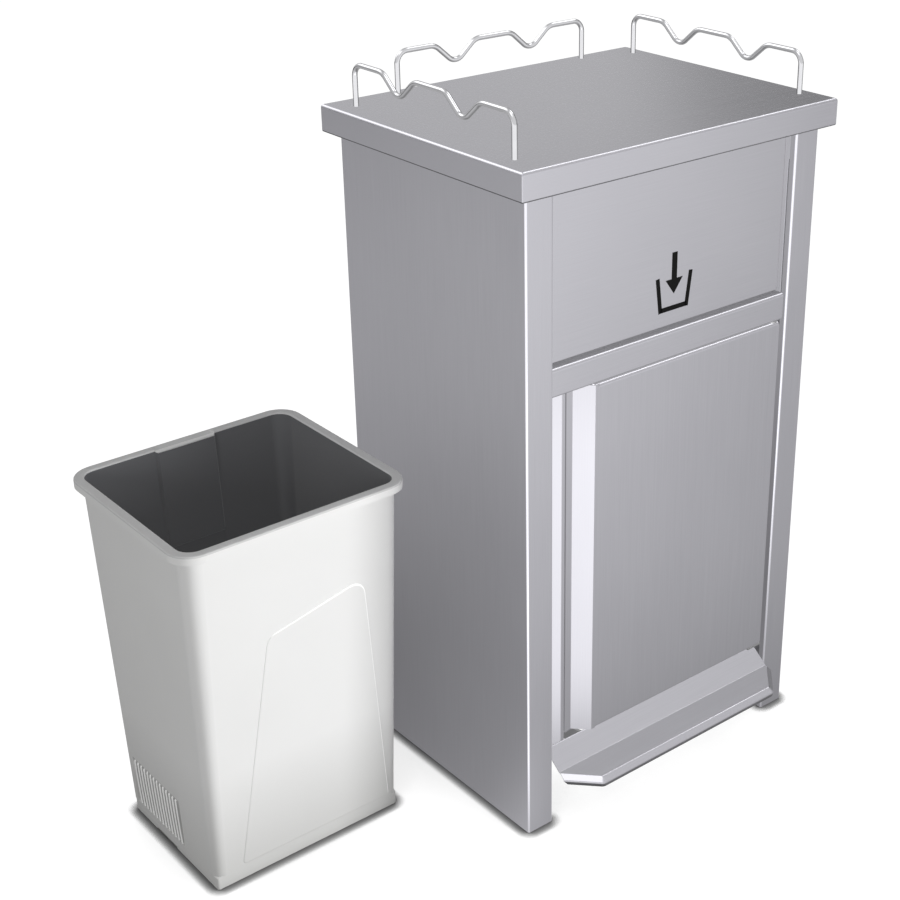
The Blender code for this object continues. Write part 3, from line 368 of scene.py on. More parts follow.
# A darker copy for the faces inside: painted shade, while its diffuse part also gets real shade.
STEEL_INSIDE_SHADE = brushed_steel("steel_dull_inside_shade", "Z", tone=0.6, rough=0.5, metal=0.4)
# A much darker copy for the hem's fold and the pedal's under-lip: painted shade.
STEEL_HEM_SHADE = brushed_steel("steel_dull_hem_shade", "X", tone=0.25, rough=0.5, metal=0.4)
print("brushed steel, bright bends and dull insides ready")

# %% [markdown]
# Rod for the rails is drawn through a die and polished, so it is smoother and brighter than sheet. Turned
# parts inside have rings round their axis. The bin is moulded: its faces have a fine even grain, and it is
# pale outside and dark inside. Towards the floor its outside turns greyer: painted shade.

# %% Rod, turned steel and plastics
PLASTIC_WIDE = 5.0
PLASTIC_WIDE_DETAIL = 3.0
PLASTIC_SPREAD = 0.06
PLASTIC_RELIEF = 0.12
PLASTIC_GRAIN = 0.0003
FOOT_SHADE_HEIGHT = 0.20


def plain_metal(name, colours, roughs, scale, stretch=(1.0, 1.0, 1.0), relief=0.0):
    """Metal whose colour and roughness follow one noise: a mottle, or rings if it is stretched."""
    look, net, shader = finish(name)
    pattern = net.noise(net.place(), scale, stretch=stretch)
    net.fill(shader, {"Base Color": net.blend(pattern, *colours),
                      "Roughness": net.between(pattern, *roughs), "Metallic": 1.0})
    if relief:
        net.bump(shader, pattern, relief, METAL_GRAIN)
    return look


def moulded(name, first, second, rough, grain=900.0, gloss=0.5, foot_shade=None):
    """Moulded plastic: a fine even grain from a small noise, and a slow change of colour from a wide one.

    foot_shade is the colour at the floor, painted shade. It fades out over the foot shade height.
    """
    look, net, shader = finish(name)
    place = net.place()
    fine = net.noise(place, grain)
    colour = net.blend(net.noise(place, PLASTIC_WIDE, PLASTIC_WIDE_DETAIL), first, second)
    if foot_shade:
        height = net.add("SeparateXYZ", {"Vector": place}).outputs["Z"]
        colour = net.blend(net.between(height, 1.0, 0.0, 0.0, FOOT_SHADE_HEIGHT), colour, foot_shade)
    net.fill(shader, {"Base Color": colour, "Specular IOR Level": gloss,
                      "Roughness": net.between(fine, rough - PLASTIC_SPREAD, rough + PLASTIC_SPREAD)})
    net.bump(shader, fine, PLASTIC_RELIEF, PLASTIC_GRAIN)
    return look


ROD = plain_metal("steel_rod_polished", ((0.62, 0.62, 0.64), (0.70, 0.70, 0.72)), (0.10, 0.14), scale=60.0)
TURNED = plain_metal("steel_turned", ((0.36, 0.36, 0.37), (0.50, 0.50, 0.51)), (0.30, 0.44), scale=1.0,
                     stretch=(900.0, 40.0, 40.0), relief=0.10)
# The outside greys towards the floor: painted shade.
BIN_OUTSIDE = moulded("plastic_bin_outside", (0.70, 0.70, 0.695), (0.76, 0.76, 0.755), 0.48,
                      foot_shade=(0.54, 0.54, 0.53))
# A darker copy of the bin's plastic for the hollow and the ribs' sides: painted shade.
BIN_HOLLOW_SHADE = moulded("plastic_bin_hollow_shade", (0.40, 0.40, 0.395), (0.46, 0.46, 0.455), 0.55)
# A paler copy of the bin's plastic for the rib heads and lit edges: painted highlight.
BIN_HIGHLIGHT = moulded("plastic_bin_painted_highlight", (0.93, 0.93, 0.925), (0.96, 0.96, 0.955), 0.48)
BIN_INSIDE = moulded("plastic_bin_inside", (0.070, 0.071, 0.076), (0.085, 0.086, 0.091), 0.55)
BIN_RIM = moulded("plastic_bin_rim", (0.50, 0.50, 0.50), (0.58, 0.58, 0.58), 0.45)
BUSH = moulded("plastic_bush", (0.20, 0.20, 0.205), (0.25, 0.25, 0.255), 0.45, grain=700.0)
INK = moulded("ink_black", (0.004, 0.004, 0.004), (0.008, 0.008, 0.008), 0.70, grain=1200.0, gloss=0.05)
print("rod, turned steel and plastics ready")

# %% [markdown]
# ## Worktop
# The top is one sheet folded down into an apron, with its lower edge folded in so that no hand meets a cut
# edge. It is a stack of rounded rectangles: each step of the fold's section is an inset and a height. Faces
# are then picked by where they lie and which way they look, for the finish of the level top, and for the
# dark colour of the hem's fold, a painted shadow line under the apron.

# %% Tools for stacks and for picking faces
QUARTER = np.linspace(0.0, math.pi / 2, 9)
FADE_OUT = 1 - np.sin(QUARTER)
FADE_IN = 1 - np.cos(QUARTER)


def stacked(section, centre, half_u, half_v, corner, axis, side=1.0):
    """Rounded rectangles along an axis, one for each inset and height. Along u, the inset is times side."""
    inset, along = np.asarray(section, float).T
    ring = rounded_ring(half_u - side * inset, half_v - inset, corner) + np.asarray(centre)
    return lofted(placed(axis, ring, along[:, None]))


def face_ways(skin):
    """Each face's outward direction and middle, as two arrays."""
    ways = np.empty((2, 3 * len(skin.data.polygons)))
    for values, name in zip(ways, ("normal", "center")):
        skin.data.polygons.foreach_get(name, values)
    return ways.reshape(2, -1, 3)


def refinish(skin, look, chosen):
    """Give another finish to the chosen faces of a piece."""
    index = np.empty(len(skin.data.polygons), np.int32)
    skin.data.polygons.foreach_get("material_index", index)
    skin.data.materials.append(look)
    index[chosen] = len(skin.data.materials) - 1
    skin.data.polygons.foreach_set("material_index", index)


print("points in a quarter turn:", len(QUARTER))

# %% Worktop
SHEET = 0.0015
EDGE_BEND = 0.0045
TOP_CORNER = 0.0012
HEM_BEND = 0.0024
HEM_RETURN = 0.012
FLUSH = 0.00015
DOWNWARD = 0.05

top_low, top_high = limits("worktop")
upper = top_high[2]
hem = top_low[2]
top_section = [(EDGE_BEND + EASE, upper)]
top_section += zip(EDGE_BEND * FADE_OUT, upper - EDGE_BEND * FADE_IN)
top_section += [(0.0, upper - EDGE_BEND - EASE), (0.0, hem + HEM_BEND + EASE)]
top_section += zip(HEM_BEND * FADE_IN, hem + HEM_BEND * FADE_OUT)
top_section += [(HEM_BEND + EASE, hem), (HEM_RETURN, hem), (HEM_RETURN, hem + SHEET), (SHEET, hem + SHEET),
                (SHEET, upper - SHEET)]
top_centre = (top_low + top_high)[:2] / 2
top_half = (top_high - top_low)[:2] / 2
top_shell = stacked(top_section, top_centre, *top_half, TOP_CORNER, "Z")
worktop = piece("worktop_skin", [top_shell], STEEL_ACROSS, "cabinet", ["worktop"])
directions, middles = face_ways(worktop)
refinish(worktop, STEEL_TOP, middles[:, 2] > upper - FLUSH)
# The fold at the hem gets a dark colour: a painted shadow line under the apron.
refinish(worktop, STEEL_HEM_SHADE, (directions[:, 2] < -DOWNWARD) & (middles[:, 2] < hem + HEM_BEND))

# %% [markdown]
# ## Side panels, back and cross rail
# Each side is one sheet. Its front edge is folded twice, into a post and a return lip, its back edge once,
# and a strip at its foot is folded in to stand on. The bends are what the eye finds first on such a cabinet,
# because they turn towards the light; their paler colour is a painted highlight. Their faces are those that
# look along no axis. The faces inside have a darker colour, painted shade.

# %% Side panels
BEND = 0.003
SLANTED = 0.985
INWARD = 0.15
BACK_FLANGE = 0.020
RETURN_LIP = 0.0113
FOOT_FLANGE = 0.018


def side_panel(side, sign):
    """A side with its post, lip, back flange and foot strip. sign is -1 on the left and 1 on the right."""
    node = side + "_side_panel"
    low, high = limits(node)
    outside, inside = (low[0], high[0]) if sign < 0 else (high[0], low[0])
    corners = [(outside - sign * BACK_FLANGE, high[1]), (outside, high[1]), (outside, low[1]),
               (inside, low[1]), (inside, low[1] + RETURN_LIP)]
    if sign > 0:
        corners.reverse()
    foot = [(outside - sign * SHEET, 0.0), (outside - sign * FOOT_FLANGE, 0.0),
            (outside - sign * FOOT_FLANGE, SHEET), (outside - sign * SHEET, SHEET)]
    shells = [folded_sheet(corners, BEND, SHEET, "Z", low[2], high[2]),
              plate(foot, "Y", low[1] + SHEET + BEND, high[1] - SHEET - BEND)]
    skin = piece(node + "_skin", shells, STEEL_UPRIGHT, "cabinet", [node], FINE_EDGE)
    directions, middles = face_ways(skin)
    inside_shade = (-sign * directions[:, 0] > INWARD) | (directions[:, 1] < -INWARD)
    inside_shade &= middles[:, 1] > low[1] + 2 * RETURN_LIP
    # The faces inside get a darker colour: painted shade.
    refinish(skin, STEEL_INSIDE_SHADE, inside_shade)
    # The bends get a paler colour: painted highlight.
    refinish(skin, STEEL_BEND_HIGHLIGHT, (np.abs(directions).max(axis=1) < SLANTED) & ~inside_shade)


side_panel("left", -1)
side_panel("right", 1)

# %% Back panel, cross rail and door jamb
PANEL_FLANGE = 0.015
RAIL_LEDGE = 0.030
RAIL_LEDGE_LIP = 0.010
RAIL_BENDS = (BEND, EDGE_BEND, BEND)
JAMB_LIP = 0.0065
JAMB_RUN = 0.028
FACING = 0.5
LEVEL = 0.99

low, high = limits("back_panel")
flange_y = high[1] - PANEL_FLANGE
corners = [(flange_y, low[2]), (high[1], low[2]), (high[1], high[2]), (flange_y, high[2])]
back_shell = folded_sheet(corners, BEND, SHEET, "X", low[0], high[0])
back = piece("back_panel_skin", [back_shell], STEEL_UPRIGHT, "cabinet", ["back_panel"],
             FINE_EDGE)
# The inside faces get the darker colour: painted shade.
refinish(back, STEEL_INSIDE_SHADE, face_ways(back)[0][:, 1] < -FACING)

low, high = limits("cross_rail")
ledge = low[1] + RAIL_LEDGE
corners = [(ledge, high[2] - RAIL_LEDGE_LIP), (ledge, high[2]), (low[1], high[2]), (low[1], low[2]),
           (high[1], low[2])]
rail_shell = folded_sheet(corners, RAIL_BENDS, SHEET, "X", low[0], high[0])
rail = piece("cross_rail_skin", [rail_shell], STEEL_ACROSS, "cabinet", ["cross_rail"],
             FINE_EDGE)
directions, middles = face_ways(rail)
# The ledge behind the rail's front gets the darker colour: painted shade.
refinish(rail, STEEL_INSIDE_SHADE, (directions[:, 2] > LEVEL) & (middles[:, 1] > low[1] + EDGE_BEND))

low, high = limits("door_jamb")
jamb_back = high[1] - PANEL_FLANGE
corners = [(low[0], high[1]), (low[0], jamb_back), (high[0] - JAMB_LIP - JAMB_RUN, jamb_back),
           (high[0] - JAMB_LIP, low[1]), (high[0], low[1])]
jamb_shell = folded_sheet(corners, BEND, SHEET, "Z", low[2], high[2])
piece("door_jamb_skin", [jamb_shell], STEEL_UPRIGHT, "cabinet", ["door_jamb"], FINE_EDGE)

# %% [markdown]
# ## Door and flap
# Both are pans: a flat face with round edges that turn back all round. The door's free edge is different.
# There the sheet slants back at 45 degrees and ends in a lip, which fingers pull from the side.

# %% Door
GRIP_RUN = 0.0229
GRIP_LIP = 0.0115
GRIP_BEND = BEND / 2
DOOR_DEPTH = 0.020
DOOR_SIDE_BEND = 0.33
SEAM = 0.00003
TUCK = 10 * SEAM
OVERLAP = 0.004


def pan(low, high, front, depth, corner, bend, side=1.0):
    """A pan with its face at front. The edge rounds back to the depth, and the inside is a sheet less.

    bend is the round's radius at the top and bottom, and side the share of it that the upright edges have.
    """
    section = [(bend + EASE, front)]
    section += zip(bend * FADE_OUT, front + bend * FADE_IN)
    section += [(0.0, front + bend + EASE), (0.0, front + depth)]
    section += [(SHEET, front + depth), (SHEET, front + SHEET)]
    centre = (np.asarray(low) + high) / 2
    half = (np.asarray(high) - low) / 2
    return stacked(section, centre, *half, corner, "Y", side)


low, high = limits("door_panel")
door_front = low[1]
grip_start = low[0] + GRIP_LIP + GRIP_RUN
grip = [(low[0], door_front + GRIP_RUN), (low[0] + GRIP_LIP, door_front + GRIP_RUN),
        (grip_start, door_front), (grip_start + OVERLAP, door_front),
        (grip_start + 2 * OVERLAP, door_front + TUCK)]
door_face = pan((grip_start, low[2]), (high[0], high[2]), door_front + SEAM, DOOR_DEPTH, BEND, EDGE_BEND,
                DOOR_SIDE_BEND)
door_shells = [door_face, folded_sheet(grip, GRIP_BEND, SHEET, "Z", low[2], high[2])]
piece("door_skin", door_shells, STEEL_UPRIGHT, "door", ["door_panel"], FINE_EDGE)

# %% Flap
FLAP_DEPTH = 0.012
FLAP_CORNER = 0.004
FLAP_BEND = 0.0015
FLAP_HEAD = 0.007
EAR_THICKNESS = 0.00225
EAR_RADIUS = 0.009

low, high = limits("flap_panel")
axle_low, axle_high = limits("flap_axle")
axle = (axle_low + axle_high)[1:] / 2
flap_front = low[1]
flap_top = axle[1] + FLAP_HEAD
ear_root = flap_front + FLAP_DEPTH / 2
around_axle = np.linspace(-math.pi / 4, math.pi / 4, 9)
ear = np.concatenate((
    [(ear_root, axle[1] - 3 * EAR_RADIUS)],
    axle + EAR_RADIUS * np.stack((np.cos(around_axle), np.sin(around_axle)), axis=1),
    [(ear_root, axle[1] + FLAP_HEAD - 2 * SHEET)]))
flap_shells = [pan((low[0], low[2]), (high[0], flap_top), flap_front, FLAP_DEPTH, FLAP_CORNER, FLAP_BEND)]
for side, way_in in ((low[0], 1), (high[0], -1)):
    flap_shells.append(plate(ear, "X", side + way_in * SHEET, side + way_in * (SHEET + EAR_THICKNESS)))
piece("flap_skin", flap_shells, STEEL_ACROSS, "flap", ["flap_panel"], FINE_EDGE)

# %% [markdown]
# ## Sign on the flap
# A small black sign tells people what the flap is for. This one is an arrow that points into an open box,
# drawn from a few straight strokes and cut from film a quarter of a millimetre thick.

# %% Sign
SIGN_MIDDLE = (0.2271, 0.8236)
SIGN_WIDE = 0.033
SIGN_HIGH = 0.044
STROKE = 0.0075
BOX_MOUTH = 0.010
BOX_FOOT = 0.78 * SIGN_WIDE
SHAFT_WIDTH = 1.4 * STROKE
ARROW_NECK = 0.004
ARROW_POINT = -0.019
ARROW_HALF = 0.017
FILM = 0.00025


def stroke(start, end, width=STROKE):
    """A straight stroke as a four-sided outline, half its width on each side of the line."""
    start, end = np.asarray(start), np.asarray(end)
    way = unit(end - start)
    side = np.array((-way[1], way[0])) * width / 2
    return np.array((start + side, start - side, end - side, end + side))


box_low = STROKE / 2 - SIGN_HIGH
strokes = [
    stroke((-SIGN_WIDE, BOX_MOUTH), (-BOX_FOOT, -SIGN_HIGH)),
    stroke((BOX_FOOT, -SIGN_HIGH), (SIGN_WIDE, BOX_MOUTH)),
    stroke((-BOX_FOOT, box_low), (BOX_FOOT, box_low)),
    stroke((0.0, SIGN_HIGH), (0.0, ARROW_NECK), SHAFT_WIDTH),
    np.array(((-ARROW_HALF, ARROW_NECK), (0.0, ARROW_POINT), (ARROW_HALF, ARROW_NECK)))]
sign_shells = [plate(outline + np.array(SIGN_MIDDLE), "Y", flap_front - FILM, flap_front + FILM)
               for outline in strokes]
piece("flap_sign", sign_shells, INK, "flap")

# %% [markdown]
# ## Pedal
# The pedal is one plate: a flange at the back, a face that slopes down to the front, and a level tread with
# cut-off corners, whose free edges are turned down and under. All of it is one grid. One parameter runs
# across, the other from the back flange over the tread to the lip, so the plate has no seams. Solidify gives
# the grid its thickness.

# %% Pedal plate
PEDAL_SHEET = 0.002
TREAD_CHAMFER = 0.0445
TREAD_DEPTH = 0.0487
UPPER_RUN = 0.0325
UPPER_RISE = 0.0253
REAR_DROP = 0.024
LIP_OUT = 0.007
LIP_DOWN = 0.006
LIP_RETURN = 0.0065
LIP_TUCK = 0.0015
LIP_TAPER = 0.012
LIP_BEND = 0.0003
TREAD_CORNER = 0.002
TREAD_START = 0.0025
PEDAL_FOLD = 0.003
PEDAL_SIDE_GAP = 0.0053

low, high = limits("pedal_plate")
tread_front = low[1] + LIP_OUT
fold_y = tread_front + TREAD_DEPTH
upper_z = high[2]
tread_z = upper_z - UPPER_RISE
upper_y = fold_y + UPPER_RUN
tread_back = fold_y - TREAD_START
pedal_middle = (low[0] + high[0]) / 2
rail_low, rail_high = limits("cross_rail")
half_tread = (rail_high - rail_low)[0] / 2 - PEDAL_SIDE_GAP

front_edge = rounded_path(
    [(-half_tread, tread_back), (TREAD_CHAMFER - half_tread, tread_front),
     (half_tread - TREAD_CHAMFER, tread_front), (half_tread, tread_back)], TREAD_CORNER, 6)
front_edge = np.concatenate((
    front_edge[:1], front_edge[:1] + EASE * unit(front_edge[1] - front_edge[0]), front_edge[1:-1],
    front_edge[-1:] + EASE * unit(front_edge[-2] - front_edge[-1]), front_edge[-1:]))
outward = -left_of(front_edge)
rear = rounded_path([(upper_y, upper_z - REAR_DROP), (upper_y, upper_z), (fold_y, tread_z),
                     (tread_front, tread_z)], (LIP_BEND, PEDAL_FOLD), 6)[:-1]
back_rows = np.stack(np.broadcast_arrays(front_edge[:, 0], rear[:, :1], rear[:, 1:]), axis=-1)
lip = rounded_path([(-LIP_OUT, 0.0), (0.0, 0.0), (LIP_OUT, -LIP_DOWN),
                    (LIP_OUT - LIP_TUCK, -LIP_DOWN - LIP_RETURN)], LIP_BEND, 4)[1:]
ends = np.zeros(len(front_edge))
ends[:2] = 1.0
ends[-2:] = -1.0
cut_back = ends[:, None] * np.stack((-outward[:, 1], outward[:, 0]), axis=1)
taper = -LIP_TAPER * lip[:, 1] / (LIP_DOWN + LIP_RETURN)
lip_plane = front_edge + outward * lip[:, :1, None] + cut_back * taper[:, None, None]
lip_rows = placed("Z", lip_plane, tread_z + lip[:, 1:])
pedal_rows = np.concatenate((back_rows, lip_rows)) + np.array((pedal_middle, 0.0, 0.0))
pedal_mesh = bpy.data.meshes.new("pedal_skin")
pedal_mesh.from_pydata(pedal_rows.reshape(-1, 3).tolist(), [], grid_quads(*pedal_rows.shape[:2], False))
pedal_mesh.materials.append(STEEL_TREAD)
pedal = object_of("pedal_skin", pedal_mesh)
faces_in_row = len(front_edge) - 1
# The under-lip's return gets a dark colour: painted shade.
refinish(pedal, STEEL_HEM_SHADE, slice(-faces_in_row, None))
wall = pedal.modifiers.new("sheet", "SOLIDIFY")
wall.thickness = PEDAL_SHEET
wall.offset = -1.0
wall.use_even_offset = True
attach(pedal, "pedal")
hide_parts("pedal_plate")
print("pedal rows and columns:", pedal_rows.shape[:2])

# %% [markdown]
# ## Tray rails
# Three rods stop trays at the edges of the top. Each is one length of rod, bent up at its ends and down into
# two dips. A circle is carried along the bent line: at each point it lies across the line's direction.

# %% Tray rails
ROD_RADIUS = 0.004
RAIL_CORNER = 0.018
DIP_SPACING = 0.146
DIP_DEPTH = 0.0265
DIP_TOP = 0.076
DIP_BOTTOM = 0.014
DIP_SHOULDER = 0.026
DIP_FLOOR = 0.018
ROD_SIDES = 24


def rail_route(half, base, flat):
    """A rail's line along its length and height: post, flat, dip, flat, dip, flat, post."""
    dip = flat - DIP_DEPTH
    route = [(-half, base), (-half, flat)]
    radii = [RAIL_CORNER]
    for middle in (-DIP_SPACING / 2, DIP_SPACING / 2):
        route += [(middle - DIP_TOP / 2, flat), (middle - DIP_BOTTOM / 2, dip)]
        route += [(middle + DIP_BOTTOM / 2, dip), (middle + DIP_TOP / 2, flat)]
        radii += [DIP_SHOULDER, DIP_FLOOR, DIP_FLOOR, DIP_SHOULDER]
    route += [(half, flat), (half, base)]
    return rounded_path(route, radii + [RAIL_CORNER], 10)


def tray_rail(node, axis):
    """A rod in an upright plane: route + radius * (cos a * left of the route, sin a * across the plane)."""
    low, high = limits(node)
    middle = (low + high) / 2
    along = 0 if axis == "Y" else 1
    half = (high - low)[along] / 2 - ROD_RADIUS
    route = rail_route(half, low[2], high[2] - ROD_RADIUS)
    turn = np.linspace(0.0, 2 * math.pi, ROD_SIDES, endpoint=False)
    plane = route[:, None] + left_of(route)[:, None] * (ROD_RADIUS * np.cos(turn))[:, None]
    plane[..., 0] += middle[along]
    depth = middle[1 - along] + ROD_RADIUS * np.sin(turn)
    piece(node + "_rod", [lofted(placed(axis, plane, depth))], ROD, "cabinet", [node])


tray_rail("left_tray_rail", "X")
tray_rail("back_tray_rail", "Y")
tray_rail("right_tray_rail", "X")

# %% [markdown]
# ## Bin
# The bin is one moulding: a floor, leaning walls, a rim turned out and down, and a set-in plinth.
# A stack of rounded rectangles carries its section from the inside floor, over the rim and down the outside.
# At the back the wall steps in for a hand. A raised panel and a row of ribs stiffen two of its faces.

# %% Sizes of the bin's wall
BIN_WALL = 0.003
BIN_FLOOR = 0.004
BIN_RIM_FLANGE = 0.012
BIN_RIM_LIP = 0.013
BIN_BASE = np.array((0.321, 0.261))
BIN_CORNER_BASE = 0.016
BIN_CORNER_RIM = 0.026
PLINTH = 0.022
PLINTH_STEP = 0.0015
PLINTH_SLOPE = 0.0015
PLINTH_BACK = 0.0065
PLINTH_CORNER = 0.004
FLOOR_CORNER = 0.012
RIM_ROUND = 0.0022
FLOOR_ROUND = 0.006

bin_low, bin_high = limits("waste_bin")
bin_middle = (bin_low + bin_high)[:2] / 2
bin_height = bin_high[2]
bin_top_half = (bin_high - bin_low)[:2] / 2 - BIN_RIM_FLANGE


def smooth_step(value, start, stop):
    """0 below start, 1 above stop, and the cubic 3t2 - 2t3 between."""
    share = np.clip((value - start) / (stop - start), 0.0, 1.0)
    return share * share * (3 - 2 * share)


print("bin:", bin_height, "m high")

# %% [markdown]
# The hollow behind the ribs gets deeper towards its foot. Its depth is a quarter of a sine wave, and it
# starts and ends in steps of a millimetre. The hand grip at the back and the notch under the plinth are made
# the same way: the grid has extra rows and columns at each step, and only the points between them move.

# %% Rows of the bin's section
GRASP_LENGTH = 0.160
GRASP_SLOPE = 0.004
RIB_COUNT = 14
RIB_PITCH = 0.0097
RIB_MIDDLE = 0.0357
RIB_LOW = 0.0245
RIB_LENGTH = 0.083
SCOOP_DEPTH = 0.006
LEDGE = 0.0006

rib_head = RIB_LOW + RIB_LENGTH
grasp_low = bin_height - GRASP_LENGTH
under_rim = bin_height - BIN_WALL
rim = -BIN_RIM_FLANGE
lip_low = bin_height - BIN_RIM_LIP
plinth_top = PLINTH - PLINTH_SLOPE


def scoop_depth(z):
    """How deep the hollow behind the ribs is at a height: a quarter sine from its head to its foot."""
    share = np.clip((rib_head - np.asarray(z)) / RIB_LENGTH, 0.0, 1.0)
    return SCOOP_DEPTH * np.sin(share * math.pi / 2) * (np.asarray(z) >= RIB_LOW)


def wall_rows(inset, heights):
    """Rows on the leaning wall: inset, height, height of the wall there, and no corner of their own."""
    return [(inset, z, z, 0.0) for z in heights]


def rim_row(inset, z):
    """A row at the rim, where the wall has its upper size."""
    return inset, z, bin_height, 0.0


def plinth_row(inset, z, corner):
    """A row of the plinth with a corner of its own."""
    return PLINTH_STEP + inset, z, PLINTH, corner


wall_heights = np.concatenate((
    [RIB_LOW - LEDGE],
    np.linspace(RIB_LOW, rib_head, 9),
    np.linspace(rib_head, grasp_low - GRASP_SLOPE, 12)[1:],
    np.linspace(grasp_low - 0.75 * GRASP_SLOPE, grasp_low, 4),
    np.linspace(grasp_low, under_rim - EASE, 9)[1:]))
rows = [plinth_row(BIN_WALL + FLOOR_ROUND + EASE, BIN_FLOOR, FLOOR_CORNER)]
rows += [plinth_row(BIN_WALL + FLOOR_ROUND * out, BIN_FLOOR + FLOOR_ROUND * up, FLOOR_CORNER)
         for out, up in zip(FADE_OUT, FADE_IN)]
rows += [plinth_row(BIN_WALL, plinth_top, FLOOR_CORNER)]
rows += wall_rows(BIN_WALL, wall_heights[2:])
inside_rows = len(rows)
rows += [rim_row(BIN_WALL - RIM_ROUND * up, bin_height - RIM_ROUND * out)
         for out, up in zip(FADE_OUT, FADE_IN)]
rim_start = len(rows)
rows += [rim_row(rim + RIM_ROUND * out, bin_height - RIM_ROUND * up) for out, up in zip(FADE_OUT, FADE_IN)]
rim_rows = len(rows)
rows += [rim_row(rim, bin_height - RIM_ROUND - EASE), rim_row(rim, lip_low + EASE), rim_row(rim, lip_low)]
rows += [rim_row(rim + BIN_WALL, lip_low), rim_row(rim + BIN_WALL, under_rim)]
rows += wall_rows(0.0, [under_rim, *wall_heights[::-1], PLINTH + EASE, PLINTH])
rows += [plinth_row(0.0, plinth_top, PLINTH_CORNER), plinth_row(0.0, plinth_top - EASE, PLINTH_CORNER)]
foot_start = len(rows)
rows += [plinth_row(0.0, 2 * EASE, PLINTH_CORNER), plinth_row(EASE, 0.0, PLINTH_CORNER)]
inset, height, wall_at, own_corner = np.array(rows).T
row_index = np.arange(len(rows))
print("rows of the bin:", len(rows))

# %% Bin shell
GRASP_HALF = 0.046
GRASP_DEPTH = 0.006
GRASP_DIP = 0.006
GRASP_MARKS = np.array((1.08, 1.0, 0.98, 0.955, 0.93, 0.5))
SCOOP_EDGE = 0.0085
SCOOP_STEP = 0.0010
NOTCH = (-0.007, 0.055)
NOTCH_HEIGHT = 0.003
TOUCH = EASE * EASE


def on_stretch(value, start, stop):
    """True where a value lies from start to stop, ends included."""
    return (value + TOUCH >= start) & (value <= stop + TOUCH)


upright = (wall_at - PLINTH) / (bin_height - PLINTH)
half = BIN_BASE / 2 + (bin_top_half - BIN_BASE / 2) * upright[:, None] - inset[:, None]
corner = BIN_CORNER_BASE + (BIN_CORNER_RIM - BIN_CORNER_BASE) * upright - inset
corner = np.where(own_corner > 0, own_corner, corner)
set_back = np.where(own_corner > 0, PLINTH_BACK / 2, 0.0)
half[:, 1] -= set_back
ring = rounded_ring(half[:, 0], half[:, 1], corner)
quarter = ring.shape[1] // 4
back_marks = np.concatenate((GRASP_MARKS, -GRASP_MARKS[::-1])) * (GRASP_HALF + GRASP_SLOPE)
scoop_half = RIB_PITCH * (RIB_COUNT - 1) / 2 + SCOOP_EDGE
scoop_front, scoop_back = RIB_MIDDLE - scoop_half, RIB_MIDDLE + scoop_half
left_marks = np.array((
    scoop_back + 3 * SCOOP_STEP, scoop_back + SCOOP_STEP, scoop_back, NOTCH[1] + SCOOP_STEP, NOTCH[1],
    NOTCH[0], NOTCH[0] - SCOOP_STEP, scoop_front, scoop_front - SCOOP_STEP, scoop_front - 3 * SCOOP_STEP))
back_line = np.stack(np.broadcast_arrays(back_marks, half[:, 1:]), axis=-1)
left_line = np.stack(np.broadcast_arrays(-half[:, :1], left_marks + set_back[:, None]), axis=-1)
ring = np.concatenate((ring[:, :quarter], back_line, ring[:, quarter:2 * quarter], left_line,
                       ring[:, 2 * quarter:]), axis=1)
ring[..., 1] -= set_back[:, None]

column = np.arange(ring.shape[1])
left_start = 2 * quarter + len(back_marks)
on_back = (column >= quarter) & (column < quarter + len(back_marks))
on_left = (column >= left_start) & (column < left_start + len(left_marks))
grasp = on_back * smooth_step(-np.abs(ring[..., 0]), -GRASP_HALF - GRASP_SLOPE, -GRASP_HALF)
grasp *= smooth_step(height, grasp_low - GRASP_SLOPE, grasp_low)[:, None]
stays = (row_index >= rim_start) & (wall_at == bin_height)
ring[..., 1] -= GRASP_DEPTH * grasp * ~stays[:, None]
in_scoop = on_left & on_stretch(ring[..., 1], scoop_front, scoop_back)
in_notch = on_left & on_stretch(ring[..., 1], *NOTCH)
ring[..., 0] += in_scoop * (scoop_depth(height) * (own_corner == 0))[:, None]
dips = (row_index >= inside_rows) & (row_index < rim_start)
lifted = height[:, None] - GRASP_DIP * grasp * dips[:, None]
lifted = lifted + NOTCH_HEIGHT * in_notch * (row_index >= foot_start)[:, None]
bin_points = np.concatenate((ring + bin_middle, lifted[..., None]), axis=-1)
bin_shell = piece("bin_shell", [lofted(bin_points)], BIN_OUTSIDE, "bin", ["waste_bin"])

# %% [markdown]
# The bin's rows are known, so its inside and its rim get their finishes by row. The last two faces are the
# caps of the shell. The hollow behind the ribs lies in their shade.

# %% Finishes of the bin
row_of_face = np.append(np.repeat(np.arange(len(rows) - 1), ring.shape[1]), (0, len(rows)))
refinish(bin_shell, BIN_INSIDE, row_of_face < inside_rows)
refinish(bin_shell, BIN_RIM, (row_of_face >= inside_rows) & (row_of_face < rim_rows))
directions, middles = face_ways(bin_shell)
behind_ribs = np.abs(middles[:, 1] - bin_middle[1] - RIB_MIDDLE) < scoop_half
behind_ribs &= (middles[:, 2] > RIB_LOW) & (middles[:, 2] < rib_head)
refinish(bin_shell, BIN_HOLLOW_SHADE, behind_ribs & (directions[:, 0] < -FACING))
print("faces behind the ribs:", int(behind_ribs.sum()))

# %% [markdown]
# The raised panel is a wedge: it hardly leaves the wall on its left and stands out on its right. Its upper
# and right edges catch the light, so they are paler, as are the heads of the ribs.

# %% Raised panel of the bin
EMBOSS_HEIGHT = 0.0025
EMBOSS_ROUND = 0.0026
EMBOSS_ROOT = 0.0008
EMBOSS_LOW = 0.026
EMBOSS_FOOT = (-0.1165, 0.143)
EMBOSS_HEAD = (-0.056, 0.105)
EMBOSS_TOP = (0.400, 0.438)
EMBOSS_CORNER = 0.022
EMBOSS_FOOT_CORNER = 0.006
EMBOSS_LEAST = 0.35
EMBOSS_FLAT = 0.97
EMBOSS_LIT = 0.1

